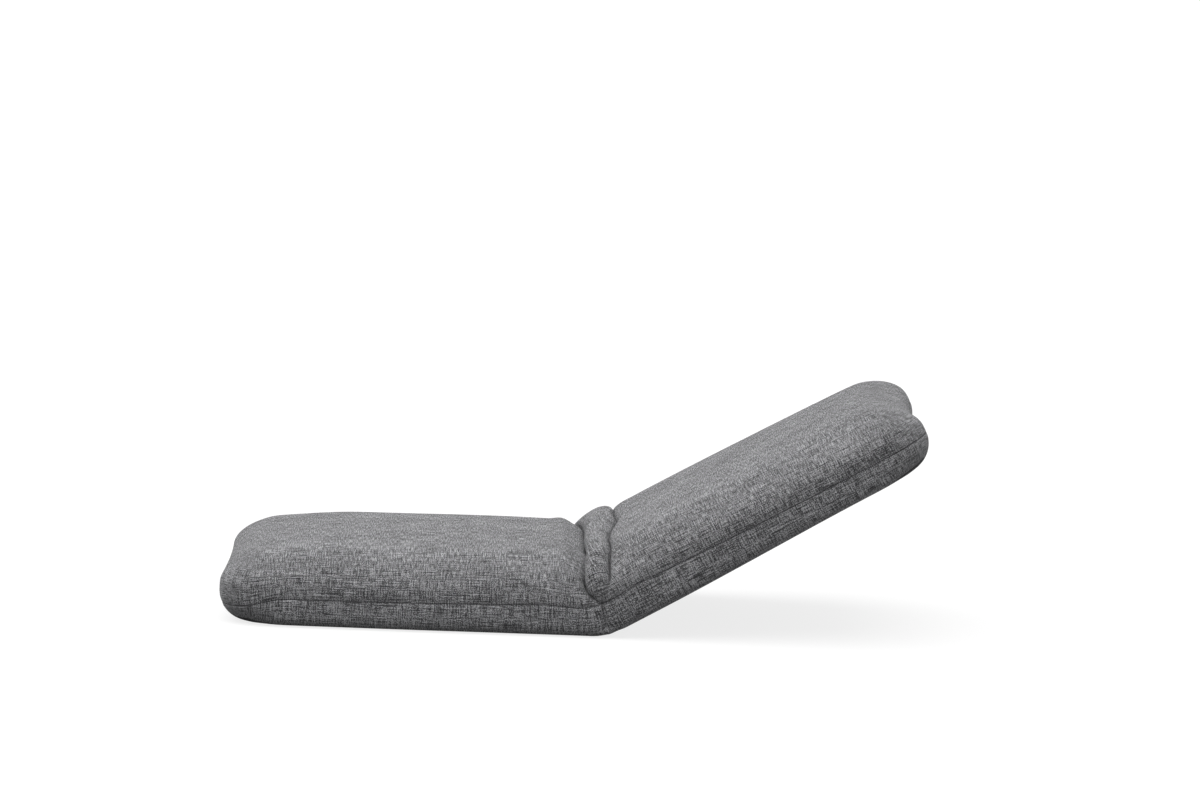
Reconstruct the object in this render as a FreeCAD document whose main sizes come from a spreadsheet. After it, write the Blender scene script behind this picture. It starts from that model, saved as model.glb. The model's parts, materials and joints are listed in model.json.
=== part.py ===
import FreeCAD, Part
import math
import os
import Sketcher

# Folding floor lounge chair, millimetres. Row origin: centre of the seat's underside, on the floor.
# +X runs from the foot end to the head end, +Z is up. Each section (seat, back) is drawn in its own
# frame: the hinge axis is Y through the origin, x runs out from the hinge, z is up. The seat's frame
# is turned half round about Z, the back's is tipped up by the photographed fold.

SIZES = [
    ("seat_length", 550, "hinge axis to foot end"),
    ("back_length", 540, "hinge axis to head end"),
    ("pad_width", 520, "across the ears of a section"),
    ("pivot_height", 36, "hinge axis above the floor"),
    ("pad_crown", 79, "top of the pad above the hinge axis, at the middle"),
    ("crown_drop", 9, "how much lower the top is at the sides"),
    ("head_drop", 9, "how much thinner the back is at the head end"),
    ("ear_radius", 62, "plan radius of the end corners"),
    ("end_draw", 9, "how far the ends are drawn in between the ears"),
    ("side_draw", 5, "how far the sides are drawn in along the length"),
    ("shoulder_radius", 46, "rounding of the top edges"),
    ("under_radius", 18, "rounding of the bottom edges"),
    ("cover_wall", 2, "thickness of the padded cover"),
    ("seam_rise", 2, "seam above the hinge axis"),
    ("foot_gap", 34, "hinge axis to the square end of a section"),
    ("bevel_start", 31, "height where the end starts to slope back"),
    ("fold_rest", 30, "fold of the back in the photo, degrees"),
    ("fold_most", 90, "largest fold between the sections, degrees"),
    ("tube_outer", 19, "outer diameter of the frame tube"),
    ("tube_wall", 1.2, "wall of the frame tube"),
    ("tube_bend", 70, "centre line radius of the frame's corners"),
    ("rail_inset", 50, "side of the pad to a rail's centre line"),
    ("frame_inset", 52, "end of a section to the tube's centre line"),
    ("tube_start", 52, "hinge axis to the end of the tube"),
    ("cross_outer", 16, "outer diameter of the cross tubes"),
    ("cross_near", 200, "hinge axis to the first cross tube"),
    ("cross_far", 340, "hinge axis to the second cross tube"),
    ("strap_width", 50, "width of a webbing strap"),
    ("strap_wall", 1.5, "thickness of a webbing strap"),
    ("strap_first", 135, "hinge axis to the first strap"),
    ("strap_pitch", 135, "from strap to strap"),
    ("groove_gap", 2.8, "foam groove around the tubes, gap at the radius"),
    ("foam_low_top", 8, "top of the lower foam slab"),
    ("foam_high_low", 12, "underside of the upper foam slab"),
    ("core_radius", 22, "radius of the foam core on the hinge line"),
    ("tooth_tip", 22, "tip radius of the ratchet teeth"),
    ("tooth_depth", 2.4, "depth of the ratchet teeth"),
    ("tooth_pitch", 7.5, "degrees from tooth to tooth"),
    ("tooth_count", 15, "ratchet teeth on a tongue"),
    ("tongue_wall", 4, "thickness of the tongue and the pawl"),
    ("washer_wall", 0.9, "thickness of a pivot washer"),
    ("cheek_wall", 2.5, "thickness of a clevis cheek"),
    ("cheek_radius", 26, "radius of a clevis cheek"),
    ("arm_half", 10, "half height of the hinge arms"),
    ("lug_start", 38, "hinge axis to the solid lug of clevis and tongue"),
    ("spigot_gap", 0.15, "clearance of a spigot in its tube, at the radius"),
    ("spigot_length", 42, "length of a spigot"),
    ("pivot_outer", 8, "diameter of the pivot rivet"),
    ("pin_outer", 5, "diameter of the pawl pin"),
    ("pin_gap", 0.05, "running clearance at the radius"),
    ("pawl_x", 28, "hinge axis to the pawl pin, along the seat"),
    ("pawl_drop", 3, "pawl pin below the hinge axis"),
    ("rivet_outer", 4, "diameter of the tube rivets"),
    ("rivet_place", 73, "hinge axis to the tube rivets"),
    ("roll_foot", 18, "hinge axis to the foot of a cloth shoulder"),
    ("roll_lean", 25, "lean of a cloth shoulder's face, degrees"),
    ("roll_round", 16, "rounding of a cloth shoulder"),
    ("pleat_rise", 76, "where the middle pleat starts to round over, above the hinge axis"),
    ("pleat_round", 34, "rounding of the ends of the middle pleat"),
    ("cloth_gap", 0.4, "clearance between soft neighbours"),
    ("zip_setback", 70, "head end to the zip"),
    ("zip_length", 420, "length of the zip opening"),
    ("zip_width", 30, "width of the zip opening"),
    ("zip_depth", 8.5, "depth of the zip's well"),
    ("coil_width", 5, "width of the zip coil"),
    ("coil_wall", 2, "thickness of the zip coil"),
    ("slider_width", 9, "width of the zip slider"),
    ("slider_length", 12, "length of the zip slider"),
    ("pull_length", 24, "length of the zip's pull tab"),
]

doc = FreeCAD.newDocument("folding_floor_chair")
sheet = doc.addObject("Spreadsheet::Sheet", "Sizes")
for row, (alias, size, meaning) in enumerate(SIZES, start=1):
    sheet.set("A%d" % row, meaning)
    sheet.set("B%d" % row, str(size))
    sheet.setAlias("B%d" % row, alias)
doc.recompute()

NAMES = {alias for alias, size, meaning in SIZES}
DERIVED = {"rail_offset": "(pad_width / 2 - rail_inset)"}
KEEP = []


def bound(text):
    """Write plain alias names as references to the sheet."""
    out = []
    word = ""
    for letter in str(text) + " ":
        if letter.isalnum() or letter == "_":
            word += letter
            continue
        if word in DERIVED:
            word = bound(DERIVED[word])
        elif word in NAMES:
            word = "Sizes." + word
        out.append(word + letter)
        word = ""
    return "".join(out).strip()


def number(text):
    """Value of an expression of sheet names."""
    return float(sheet.evalExpression(bound(text)))


def bind(item, prop, text):
    item.setExpression(prop, bound(text))


def new_body(name):
    return doc.addObject("PartDesign::Body", name)


def on_plane(body, name, role, lift=None):
    """Empty sketch on one of the body's own origin planes, lifted along its normal."""
    sketch = body.newObject("Sketcher::SketchObject", name)
    plane = [item for item in body.Origin.OriginFeatures if item.Role == role][0]
    sketch.AttachmentSupport = [(plane, "")]
    sketch.MapMode = "FlatFace"
    if lift is not None:
        bind(sketch, "AttachmentOffset.Base.z", lift)
    return sketch


def pin_point(sketch, index, end, across, along):
    first = sketch.addConstraint(Sketcher.Constraint("DistanceX", -1, 1, index, end, number(across)))
    sketch.setExpression("Constraints[%d]" % first, bound(across))
    second = sketch.addConstraint(Sketcher.Constraint("DistanceY", -1, 1, index, end, number(along)))
    sketch.setExpression("Constraints[%d]" % second, bound(along))


def turned_arc(start, stop, rise):
    """Arc between two points that rises to the right of their direction, drawn anticlockwise."""
    run = stop - start
    side = FreeCAD.Vector(run.y, -run.x, 0).normalize()
    drop = (rise * rise - run.Length * run.Length / 4) / (2 * rise)
    middle = (start + stop) * 0.5 + side * drop
    circle = Part.Circle(middle, FreeCAD.Vector(0, 0, 1), (start - middle).Length)
    first, last = (start, stop) if rise > 0 else (stop, start)
    begin = math.atan2(first.y - middle.y, first.x - middle.x)
    finish = math.atan2(last.y - middle.y, last.x - middle.x)
    if finish < begin:
        finish += 2 * math.pi
    return Part.ArcOfCircle(circle, begin, finish)


def outline(sketch, corners, bulges=None):
    """Closed outline through corners (pairs of expressions). bulges: edge number -> rise of an arc
    to the right of the edge's direction."""
    bulges = bulges or {}
    spots = [FreeCAD.Vector(number(x), number(y), 0) for x, y in corners]
    count = len(spots)
    ends = []
    for index in range(count):
        start = spots[index]
        stop = spots[(index + 1) % count]
        rise = number(bulges[index]) if index in bulges else 0
        if rise:
            sketch.addGeometry(turned_arc(start, stop, rise))
        else:
            sketch.addGeometry(Part.LineSegment(start, stop))
        ends.append((2, 1) if rise < 0 else (1, 2))
    for index in range(count):
        after = (index + 1) % count
        sketch.addConstraint(Sketcher.Constraint("Coincident", index, ends[index][1], after, ends[after][0]))
    for index, (x, y) in enumerate(corners):
        pin_point(sketch, index, ends[index][0], x, y)
    for index, rise in bulges.items():
        start = corners[index]
        stop = corners[(index + 1) % count]
        across = "((%s) - (%s))" % (stop[0], start[0])
        along = "((%s) - (%s))" % (stop[1], start[1])
        chord = "(%s^2 + %s^2)" % (across, along)
        drop = "(((%s)^2 - %s / 4) / (2 * (%s) * sqrt(%s)))" % (rise, chord, rise, chord)
        if abs(number(along)) > abs(number(across)):
            kind = "DistanceX"
            spot = "((%s) + (%s)) / 2 + %s * %s" % (stop[0], start[0], along, drop)
        else:
            kind = "DistanceY"
            spot = "((%s) + (%s)) / 2 - %s * %s" % (stop[1], start[1], across, drop)
        mark = sketch.addConstraint(Sketcher.Constraint(kind, -1, 1, index, 3, number(spot)))
        sketch.setExpression("Constraints[%d]" % mark, bound(spot))
    return sketch


def ring(sketch, across, along, radius):
    """Circle at a point given by expressions."""
    middle = FreeCAD.Vector(number(across), number(along), 0)
    index = sketch.addGeometry(Part.Circle(middle, FreeCAD.Vector(0, 0, 1), number(radius)))
    pin_point(sketch, index, 3, across, along)
    mark = sketch.addConstraint(Sketcher.Constraint("Radius", index, number(radius)))
    sketch.setExpression("Constraints[%d]" % mark, bound(radius))
    return sketch


def feature(body, kind, name, sketch, length=None, both=False, turned=False):
    """Pad or pocket of a sketch."""
    item = body.newObject("PartDesign::" + kind, name)
    item.Profile = sketch
    if both:
        item.SideType = "Symmetric"
    if length is None:
        item.Type = "ThroughAll"
    else:
        bind(item, "Length", length)
    item.Reversed = turned
    doc.recompute()
    return item


def fillet(body, name, chosen, radius):
    """Fillet the edges of the body's tip that pass the test."""
    base = body.Tip
    names = ["Edge%d" % (place + 1) for place, edge in enumerate(base.Shape.Edges) if chosen(edge)]
    item = body.newObject("PartDesign::Fillet", name)
    item.Base = (base, names)
    bind(item, "Radius", radius)
    doc.recompute()
    return item


def seat_frame(item):
    """Stand a section piece in the seat's frame."""
    item.Placement.Rotation = FreeCAD.Rotation(FreeCAD.Vector(0, 0, 1), 180)
    bind(item, "Placement.Base.x", "seat_length / 2")
    bind(item, "Placement.Base.z", "pivot_height")


def back_frame(item):
    """Stand a section piece in the back's frame, tipped up by the photographed fold."""
    item.Placement.Rotation = FreeCAD.Rotation(FreeCAD.Vector(0, -1, 0), 30)
    bind(item, "Placement.Rotation.Angle", "fold_rest")
    bind(item, "Placement.Base.x", "seat_length / 2")
    bind(item, "Placement.Base.z", "pivot_height")


def middle_frame(item):
    """Halfway between the two sections."""
    item.Placement.Rotation = FreeCAD.Rotation(FreeCAD.Vector(0, -1, 0), 15)
    bind(item, "Placement.Rotation.Angle", "fold_rest / 2")
    bind(item, "Placement.Base.x", "seat_length / 2")
    bind(item, "Placement.Base.z", "pivot_height")


FRAMES = {"seat": seat_frame, "back": back_frame}


def keep(item, label, section):
    """Name a finished piece and stand it in its place."""
    item.Label = label
    FRAMES.get(section, middle_frame)(item)
    KEEP.append(item)
    return item


def combine(kind, name, *items):
    """Part boolean of finished objects."""
    item = doc.addObject("Part::" + kind, name)
    if kind == "Cut":
        item.Base, item.Tool = items
    else:
        item.Shapes = list(items)
    doc.recompute()
    return item


def block(name, corners):
    """Box between two corners given by expressions."""
    item = doc.addObject("Part::Box", name)
    low, high = corners
    for axis, size, a, b in zip("xyz", ("Length", "Width", "Height"), low, high):
        bind(item, "Placement.Base." + axis, a)
        bind(item, size, "(%s) - (%s)" % (b, a))
    return item


def prism(name, corners, length, bulges=None):
    """Outline in the XZ plane drawn out evenly to both sides of it."""
    body = new_body(name)
    sketch = outline(on_plane(body, name + "_outline", "XZ_Plane"), corners, bulges)
    feature(body, "Pad", name + "_pad", sketch, length, both=True)
    return body


def pad_form(section, name, inset):
    """Upholstered block of one section: drawn-in plan, crowned top, rounded edges."""
    long = section + "_length"
    body = new_body(name)
    half = "(pad_width / 2 - %s)" % inset
    far = "(%s - %s)" % (long, inset)
    ear = "(ear_radius - %s)" % inset
    near = "(-2)" if inset == "0" else "(-6)"
    wide = "(%s - %s)" % (half, ear)
    run = "(%s - %s - %s)" % (far, ear, near)
    end_turn = "(2 * atan(end_draw / %s))" % wide
    side_turn = "(2 * atan(side_draw / %s))" % run
    end_round = "(%s / sin(%s) - %s)" % (wide, end_turn, ear)
    side_round = "(%s / sin(%s) - %s)" % (run, side_turn, ear)
    side_x = "%s - %s - %s * sin(%s)" % (far, ear, ear, side_turn)
    side_y = "(%s + %s * cos(%s))" % (wide, ear, side_turn)
    end_x = "%s - %s + %s * cos(%s)" % (far, ear, ear, end_turn)
    end_y = "(%s - %s * sin(%s))" % (wide, ear, end_turn)
    waist = "(%s - side_draw)" % half
    corners = [
        (near, "-" + waist), (side_x, "-" + side_y), (end_x, "-" + end_y),
        (end_x, end_y), (side_x, side_y), (near, waist),
    ]
    turn = "%s * (1 - cos((90deg + %s + %s) / 2))" % (ear, end_turn, side_turn)
    side_bow = "-%s * (1 - cos(%s / 2))" % (side_round, side_turn)
    bulges = {0: side_bow, 1: turn, 2: "-%s * (1 - cos(%s))" % (end_round, end_turn), 3: turn, 4: side_bow}
    plan = outline(on_plane(body, name + "_plan", "XY_Plane", "%s - pivot_height" % inset), corners, bulges)
    feature(body, "Pad", name + "_pad", plan, "pad_crown + pivot_height - 2 * %s + 4" % inset)
    roof = on_plane(body, name + "_roof", "YZ_Plane", "-20")
    top = "(pad_crown - %s)" % inset
    side = "(%s - crown_drop)" % top
    outline(
        roof,
        [("-%s - 40" % half, side), ("%s + 40" % half, side),
         ("%s + 40" % half, "pad_crown + 60"), ("-%s - 40" % half, "pad_crown + 60")],
        {0: "-crown_drop"},
    )
    crown = feature(body, "Pocket", name + "_crown", roof, None, turned=True)
    if section == "back":
        crown.Reversed = False
        crown.UseCustomVector = True
        crown.Direction = FreeCAD.Vector(1, 0, 0)
        bind(crown, "Direction.z", "-head_drop / back_length")
        doc.recompute()
    start = number(near)
    low = number("%s - pivot_height" % inset)
    high = number("pad_crown - crown_drop - head_drop") - 12

    def on_hinge_end(edge):
        return edge.BoundBox.XMax < start + 0.01

    def on_top(edge):
        return edge.BoundBox.ZMin > high and not on_hinge_end(edge)

    def on_floor(edge):
        return edge.BoundBox.ZMax < low + 0.01 and not on_hinge_end(edge)

    fillet(body, name + "_shoulder", on_top, "shoulder_radius - %s" % inset)
    fillet(body, name + "_under", on_floor, "under_radius - %s" % inset)
    return body


def tube_path(body, name, section, near):
    """U-shaped centre line of a frame tube, in the body's XY plane."""
    sketch = on_plane(body, name, "XY_Plane")
    far = "(%s_length - frame_inset)" % section
    rail = "rail_offset"
    bend = "tube_bend"
    spots = [
        (near, "-" + rail), ("%s - %s" % (far, bend), "-" + rail), (far, "-%s + %s" % (rail, bend)),
        (far, "%s - %s" % (rail, bend)), ("%s - %s" % (far, bend), rail), (near, rail),
    ]
    points = [FreeCAD.Vector(number(x), number(y), 0) for x, y in spots]
    rise = number(bend) * (1 - math.sqrt(0.5))
    sketch.addGeometry(Part.LineSegment(points[0], points[1]))
    sketch.addGeometry(turned_arc(points[1], points[2], rise))
    sketch.addGeometry(Part.LineSegment(points[2], points[3]))
    sketch.addGeometry(turned_arc(points[3], points[4], rise))
    sketch.addGeometry(Part.LineSegment(points[4], points[5]))
    for index in range(1, 5):
        sketch.addConstraint(Sketcher.Constraint("Coincident", index - 1, 2, index, 1))
        pin_point(sketch, index, 1, *spots[index])
    pin_point(sketch, 0, 1, *spots[0])
    pin_point(sketch, 4, 2, *spots[5])
    for index in (1, 3):
        mark = sketch.addConstraint(Sketcher.Constraint("Radius", index, number(bend)))
        sketch.setExpression("Constraints[%d]" % mark, bound(bend))
    return sketch


def swept_tube(name, section, near, radius, bore=None):
    """Round section swept along the U of a section, hollow when a bore is given."""
    body = new_body(name)
    path = tube_path(body, name + "_path", section, near)
    profile = on_plane(body, name + "_round", "YZ_Plane", near)
    ring(profile, "-rail_offset", "0", radius)
    if bore:
        ring(profile, "-rail_offset", "0", bore)
    doc.recompute()
    pipe = body.newObject("PartDesign::AdditivePipe", name + "_pipe")
    pipe.Profile = profile
    pipe.Spine = path
    doc.recompute()
    return body


def cylinder_y(name, x, z, radius, half):
    """Cylinder along Y, even about the middle."""
    body = new_body(name)
    sketch = ring(on_plane(body, name + "_round", "XZ_Plane"), x, z, radius)
    feature(body, "Pad", name + "_pad", sketch, "2 * (%s)" % half, both=True)
    return body


def cross_tube(section, label, place):
    """Straight tube between the rails, its ends coped to them."""
    name = "work_" + label
    solid = cylinder_y(name + "_solid", place, "0", "cross_outer / 2", "rail_offset")
    bore = cylinder_y(name + "_bore", place, "0", "cross_outer / 2 - tube_wall", "rail_offset + 10")
    hollow = combine("Cut", name + "_hollow", solid, bore)
    rails = new_body(name + "_rails")
    sketch = on_plane(rails, name + "_rail_round", "YZ_Plane", place + " - 40")
    ring(sketch, "-rail_offset", "0", "tube_outer / 2 + 0.02")
    ring(sketch, "rail_offset", "0", "tube_outer / 2 + 0.02")
    tool = feature(rails, "Pad", name + "_rail_pad", sketch, "80")
    tool.AllowMultiFace = True
    doc.recompute()
    keep(combine("Cut", name + "_coped", hollow, rails), label, section)


def strap(section, label, place):
    """Webbing strap: flat across the rails, looped round the outside of each."""
    body = new_body("work_" + label)
    sketch = on_plane(body, label + "_outline", "YZ_Plane", place + " - strap_width / 2")
    low = "(tube_outer / 2 + 0.3)"
    high = "(tube_outer / 2 + 0.3 + strap_wall)"
    corners = [
        ("-rail_offset", "-" + high), ("-rail_offset", "-" + low), ("-rail_offset - " + low, "0"),
        ("-rail_offset", low), ("rail_offset", low), ("rail_offset + " + low, "0"),
        ("rail_offset", "-" + low), ("rail_offset", "-" + high), ("rail_offset + " + high, "0"),
        ("rail_offset", high), ("-rail_offset", high), ("-rail_offset - " + high, "0"),
    ]
    tight = "-%s * (1 - cos(45deg))" % low
    loose = "%s * (1 - cos(45deg))" % high
    bulges = {1: tight, 2: tight, 4: tight, 5: tight, 7: loose, 8: loose, 10: loose, 11: loose}
    outline(sketch, corners, bulges)
    feature(body, "Pad", label + "_pad", sketch, "strap_width")
    keep(body, label, section)


def section_space(name, gap="0"):
    """Everything a section may fill: square at the foot of the fold, then sloping back."""
    slope = "tan(fold_most * 0.5deg)"
    top = "(pad_crown + 30)"
    near = "(foot_gap + %s)" % gap
    return prism(
        name,
        [(near, "-pivot_height - 20"), ("900", "-pivot_height - 20"), ("900", top),
         ("%s + (%s - bevel_start) * %s" % (near, top, slope), top), (near, "bevel_start")],
        "pad_width + 80",
    )


def build_section(section):
    """Frame, straps, foam, cover and cloth shoulder of one section."""
    pre = "work_" + section
    outer = pad_form(section, pre + "_outer", "0")
    inner = pad_form(section, pre + "_inner", "cover_wall")
    space = section_space(pre + "_space")
    wide = "pad_width / 2 + 40"
    tubes = swept_tube(pre + "_tube", section, "tube_start", "tube_outer / 2", "tube_outer / 2 - tube_wall")

    rivets = new_body(pre + "_rivet_holes")
    sketch = on_plane(rivets, pre + "_rivet_round", "XY_Plane")
    ring(sketch, "rivet_place", "-rail_offset", "rivet_outer / 2 + pin_gap")
    ring(sketch, "rivet_place", "rail_offset", "rivet_outer / 2 + pin_gap")
    holes = feature(rivets, "Pad", pre + "_rivet_pad", sketch, "40", both=True)
    holes.AllowMultiFace = True
    doc.recompute()
    keep(combine("Cut", pre + "_tube_drilled", tubes, rivets), section + "_frame_tube", section)

    cross_tube(section, section + "_cross_tube_near", "cross_near")
    cross_tube(section, section + "_cross_tube_far", "cross_far")
    for count in range(3):
        strap(section, "%s_strap_%d" % (section, count + 1), "(strap_first + %d * strap_pitch)" % count)

    shell = combine("Cut", pre + "_shell", outer, inner)
    above = block(pre + "_above", (("-20", "-(%s)" % wide, "seam_rise"), ("900", wide, "pad_crown + 40")))
    below = block(pre + "_below", (("-20", "-(%s)" % wide, "-pivot_height - 20"), ("900", wide, "seam_rise")))
    keep(combine("MultiCommon", pre + "_top", shell, space, above), section + "_cover_top", section)
    bottom = combine("MultiCommon", pre + "_bottom", shell, space, below)

    high = block(pre + "_high", (("-20", "-(%s)" % wide, "foam_high_low"), ("900", wide, "pad_crown + 40")))
    low = block(pre + "_low", (("-20", "-(%s)" % wide, "-pivot_height"), ("900", wide, "foam_low_top")))
    keep(combine("MultiCommon", pre + "_foam_high", inner, space, high), section + "_foam_upper", section)
    slab = combine("MultiCommon", pre + "_foam_low", inner, space, low)
    groove = swept_tube(pre + "_groove", section, "foot_gap - 6", "tube_outer / 2 + groove_gap")
    slab = combine("Cut", pre + "_foam_grooved", slab, groove)
    for count, place in enumerate(("cross_near", "cross_far")):
        room = cylinder_y("%s_room_%d" % (pre, count), place, "0", "cross_outer / 2 + 0.5", "rail_offset")
        slab = combine("Cut", "%s_foam_room_%d" % (pre, count), slab, room)

    if section == "back":
        far = "(back_length - zip_setback)"
        half = "(zip_length / 2)"
        reach = "(zip_width / 2)"
        rim = "cover_wall"
        base = "(-pivot_height)"
        deep = "(-pivot_height + zip_depth)"
        opening = block(
            pre + "_zip_opening",
            ((far + " - " + reach, "-" + half, base + " - 5"), (far + " + " + reach, half, "0")),
        )
        collar = block(
            pre + "_zip_collar",
            ((far + " - %s - %s" % (reach, rim), "-%s - %s" % (half, rim), base + " + cover_wall / 2"),
             (far + " + %s + %s" % (reach, rim), "%s + %s" % (half, rim), deep)),
        )
        joined = combine("MultiFuse", pre + "_bottom_collar", bottom, collar)
        bottom = combine("Cut", pre + "_bottom_open", joined, opening)
        pocket = block(
            pre + "_zip_pocket",
            ((far + " - %s - %s - 1" % (reach, rim), "-%s - %s - 1" % (half, rim), base + " - 5"),
             (far + " + %s + %s + 1" % (reach, rim), "%s + %s + 1" % (half, rim), deep + " + 2")),
        )
        slab = combine("Cut", pre + "_foam_zip", slab, pocket)
    keep(bottom, section + "_cover_bottom", section)
    keep(slab, section + "_foam_lower", section)

    heads = new_body(pre + "_rivets")
    ends = "(tube_outer / 2 + 1.4)"
    sketch = on_plane(heads, pre + "_rivet_shape", "XZ_Plane", "rail_offset")
    core = "rivet_place"
    outline(
        sketch,
        [(core, "-" + ends), (core + " + rivet_outer", "-" + ends),
         (core + " + rivet_outer", "-tube_outer / 2"), (core + " + rivet_outer / 2", "-tube_outer / 2"),
         (core + " + rivet_outer / 2", "tube_outer / 2"), (core + " + rivet_outer", "tube_outer / 2"),
         (core + " + rivet_outer", ends), (core, ends)],
    )
    sketch.addGeometry(Part.LineSegment(sketch.Geometry[7].EndPoint, sketch.Geometry[7].StartPoint), True)
    doc.recompute()
    turned = heads.newObject("PartDesign::Revolution", pre + "_rivet_turn")
    turned.Profile = sketch
    turned.ReferenceAxis = (sketch, ["Edge8"])
    turned.Angle = 360
    doc.recompute()
    other = doc.addObject("Part::Mirroring", pre + "_rivet_mirror")
    other.Source = heads
    other.Normal = FreeCAD.Vector(0, 1, 0)
    pair = doc.addObject("Part::Compound", pre + "_rivet_pair")
    pair.Links = [heads, other]
    doc.recompute()
    keep(pair, section + "_tube_rivets", section)

    slope = "tan(fold_most * 0.5deg)"
    lean = "tan(roll_lean * 1deg)"
    top = "(pad_crown + 30)"
    foot = "(bevel_start - 1)"
    edge = "(foot_gap - cloth_gap)"
    wedge = prism(
        pre + "_wedge",
        [("roll_foot", foot), (edge, foot), (edge, "bevel_start"),
         ("%s + (%s - bevel_start) * %s" % (edge, top, slope), top),
         ("roll_foot + (%s - %s) * %s" % (top, foot, lean), top)],
        "pad_width + 80",
    )
    shoulder = combine("MultiCommon", pre + "_shoulder_cut", outer, wedge)
    front = number("roll_foot + 4")
    edges = []
    for place, line in enumerate(shoulder.Shape.Edges):
        box = line.BoundBox
        spot = line.CenterOfMass
        face = number("roll_foot") + (spot.z - number(foot)) * math.tan(math.radians(number("roll_lean")))
        if abs(spot.x - face) < 1.0 and spot.z > number(foot) + 5 and box.XMax > front:
            edges.append(place + 1)
    soft = doc.addObject("Part::Fillet", pre + "_shoulder_soft")
    soft.Base = shoulder
    soft.Edges = [(place, number("roll_round"), number("roll_round")) for place in edges]
    doc.recompute()
    keep(soft, section + "_fold_shoulder", section)


build_section("seat")
build_section("back")

# The middle pleat stands in the V between the two cloth shoulders, halfway between the sections.
half_turn = "(fold_rest * 0.5deg)"
lean = "(roll_lean * 1deg - fold_rest * 0.5deg)"
pleat_foot = "(bevel_start + 1)"
foot_half = "(roll_foot * cos(%s) - (bevel_start - 1) * sin(%s) - 3 * cloth_gap)" % (half_turn, half_turn)
shoulder_top = "pleat_rise"
top_half = "(%s + (%s - %s) * tan(%s))" % (foot_half, shoulder_top, pleat_foot, lean)
pleat = prism(
    "work_pleat",
    [("-" + foot_half, pleat_foot), (foot_half, pleat_foot), (top_half, shoulder_top),
     ("-" + top_half, shoulder_top)],
    "pad_width - 16",
    {2: "%s * 0.9" % top_half},
)


body = new_body("work_pleat_ends")
wide = "(pad_width / 2 - side_draw - 4)"
crest = "(pleat_rise + %s * 0.9 + 0.5)" % top_half
sketch = outline(
    on_plane(body, "work_pleat_ends_outline", "YZ_Plane"),
    [("-" + wide, "0"), (wide, "0"), (wide, crest + " - pleat_round"), (wide + " - pleat_round", crest),
     ("-%s + pleat_round" % wide, crest), ("-" + wide, crest + " - pleat_round")],
    {2: "pleat_round * (1 - cos(45deg))", 4: "pleat_round * (1 - cos(45deg))"},
)
feature(body, "Pad", "work_pleat_ends_pad", sketch, "200", both=True)
keep(combine("MultiCommon", "work_pleat_rounded", pleat, body), "fold_middle_pleat", "middle")

# Cloth under the hinge: a trough that follows the bend, with a side wall at each end.
wrap = "pivot_height"
reach = "(foot_gap - cloth_gap)"
rest = "(fold_rest * 1deg)"
wall_top = "(bevel_start - 3)"


def tipped(along, height):
    """Point of the back's frame written in the seat side's upright frame."""
    return (
        "(%s) * cos(%s) - (%s) * sin(%s)" % (along, rest, height, rest),
        "(%s) * sin(%s) + (%s) * cos(%s)" % (along, rest, height, rest),
    )


def trough(name, lower, upper, length, past):
    """Closed outline of the trough at one depth."""
    span = "(%s + %s)" % (reach, past)
    middle = "(%s) / cos(%s / 2)" % (upper, rest)
    corners = [
        ("-" + span, "-" + lower), ("0", "-" + lower), tipped("0", "-" + lower), tipped(span, "-" + lower),
        tipped(span, upper), ("-(%s) * sin(%s / 2)" % (middle, rest), "(%s) * cos(%s / 2)" % (middle, rest)),
        ("-" + span, upper),
    ]
    rise = "%s * (1 - cos(%s / 2))" % (lower, rest)
    return prism(name, corners, length, {1: rise})


waist = "pad_width - 2 * side_draw - 2"
trough_out = trough("work_trough_out", wrap, wall_top, waist, "0")
trough_in = trough("work_trough_in", "(%s - cover_wall)" % wrap, "(%s + 15)" % wall_top,
                   waist + " - 2 * cover_wall", "12")
under = combine("Cut", "work_trough", trough_out, trough_in)
under.Label = "fold_under_cover"
bind(under, "Placement.Base.x", "seat_length / 2")
bind(under, "Placement.Base.z", "pivot_height")
KEEP.append(under)

core = cylinder_y("work_core", "0", "0", "core_radius", "rail_offset - 16")
keep(core, "hinge_foam_core", "seat")

# Ratchet hinges. slot: room between the cheeks; cheeks: overall width of a clevis.
slot = "(tongue_wall + 2 * washer_wall + 0.2)"
cheeks = "(tongue_wall + 2 * washer_wall + 0.2 + 2 * cheek_wall)"
spigot = "(tube_outer / 2 - tube_wall - spigot_gap)"


def spigot_on(body, name):
    """Round spigot from the lug into the tube, drilled for the tube rivet."""
    sketch = ring(on_plane(body, name + "_spigot_round", "YZ_Plane", "tube_start - 2"), "0", "0", spigot)
    feature(body, "Pad", name + "_spigot", sketch, "spigot_length + 2")
    drill = ring(on_plane(body, name + "_drill_round", "XY_Plane"), "rivet_place", "0",
                 "rivet_outer / 2 + pin_gap")
    feature(body, "Pocket", name + "_drill", drill, None, both=True)


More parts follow.
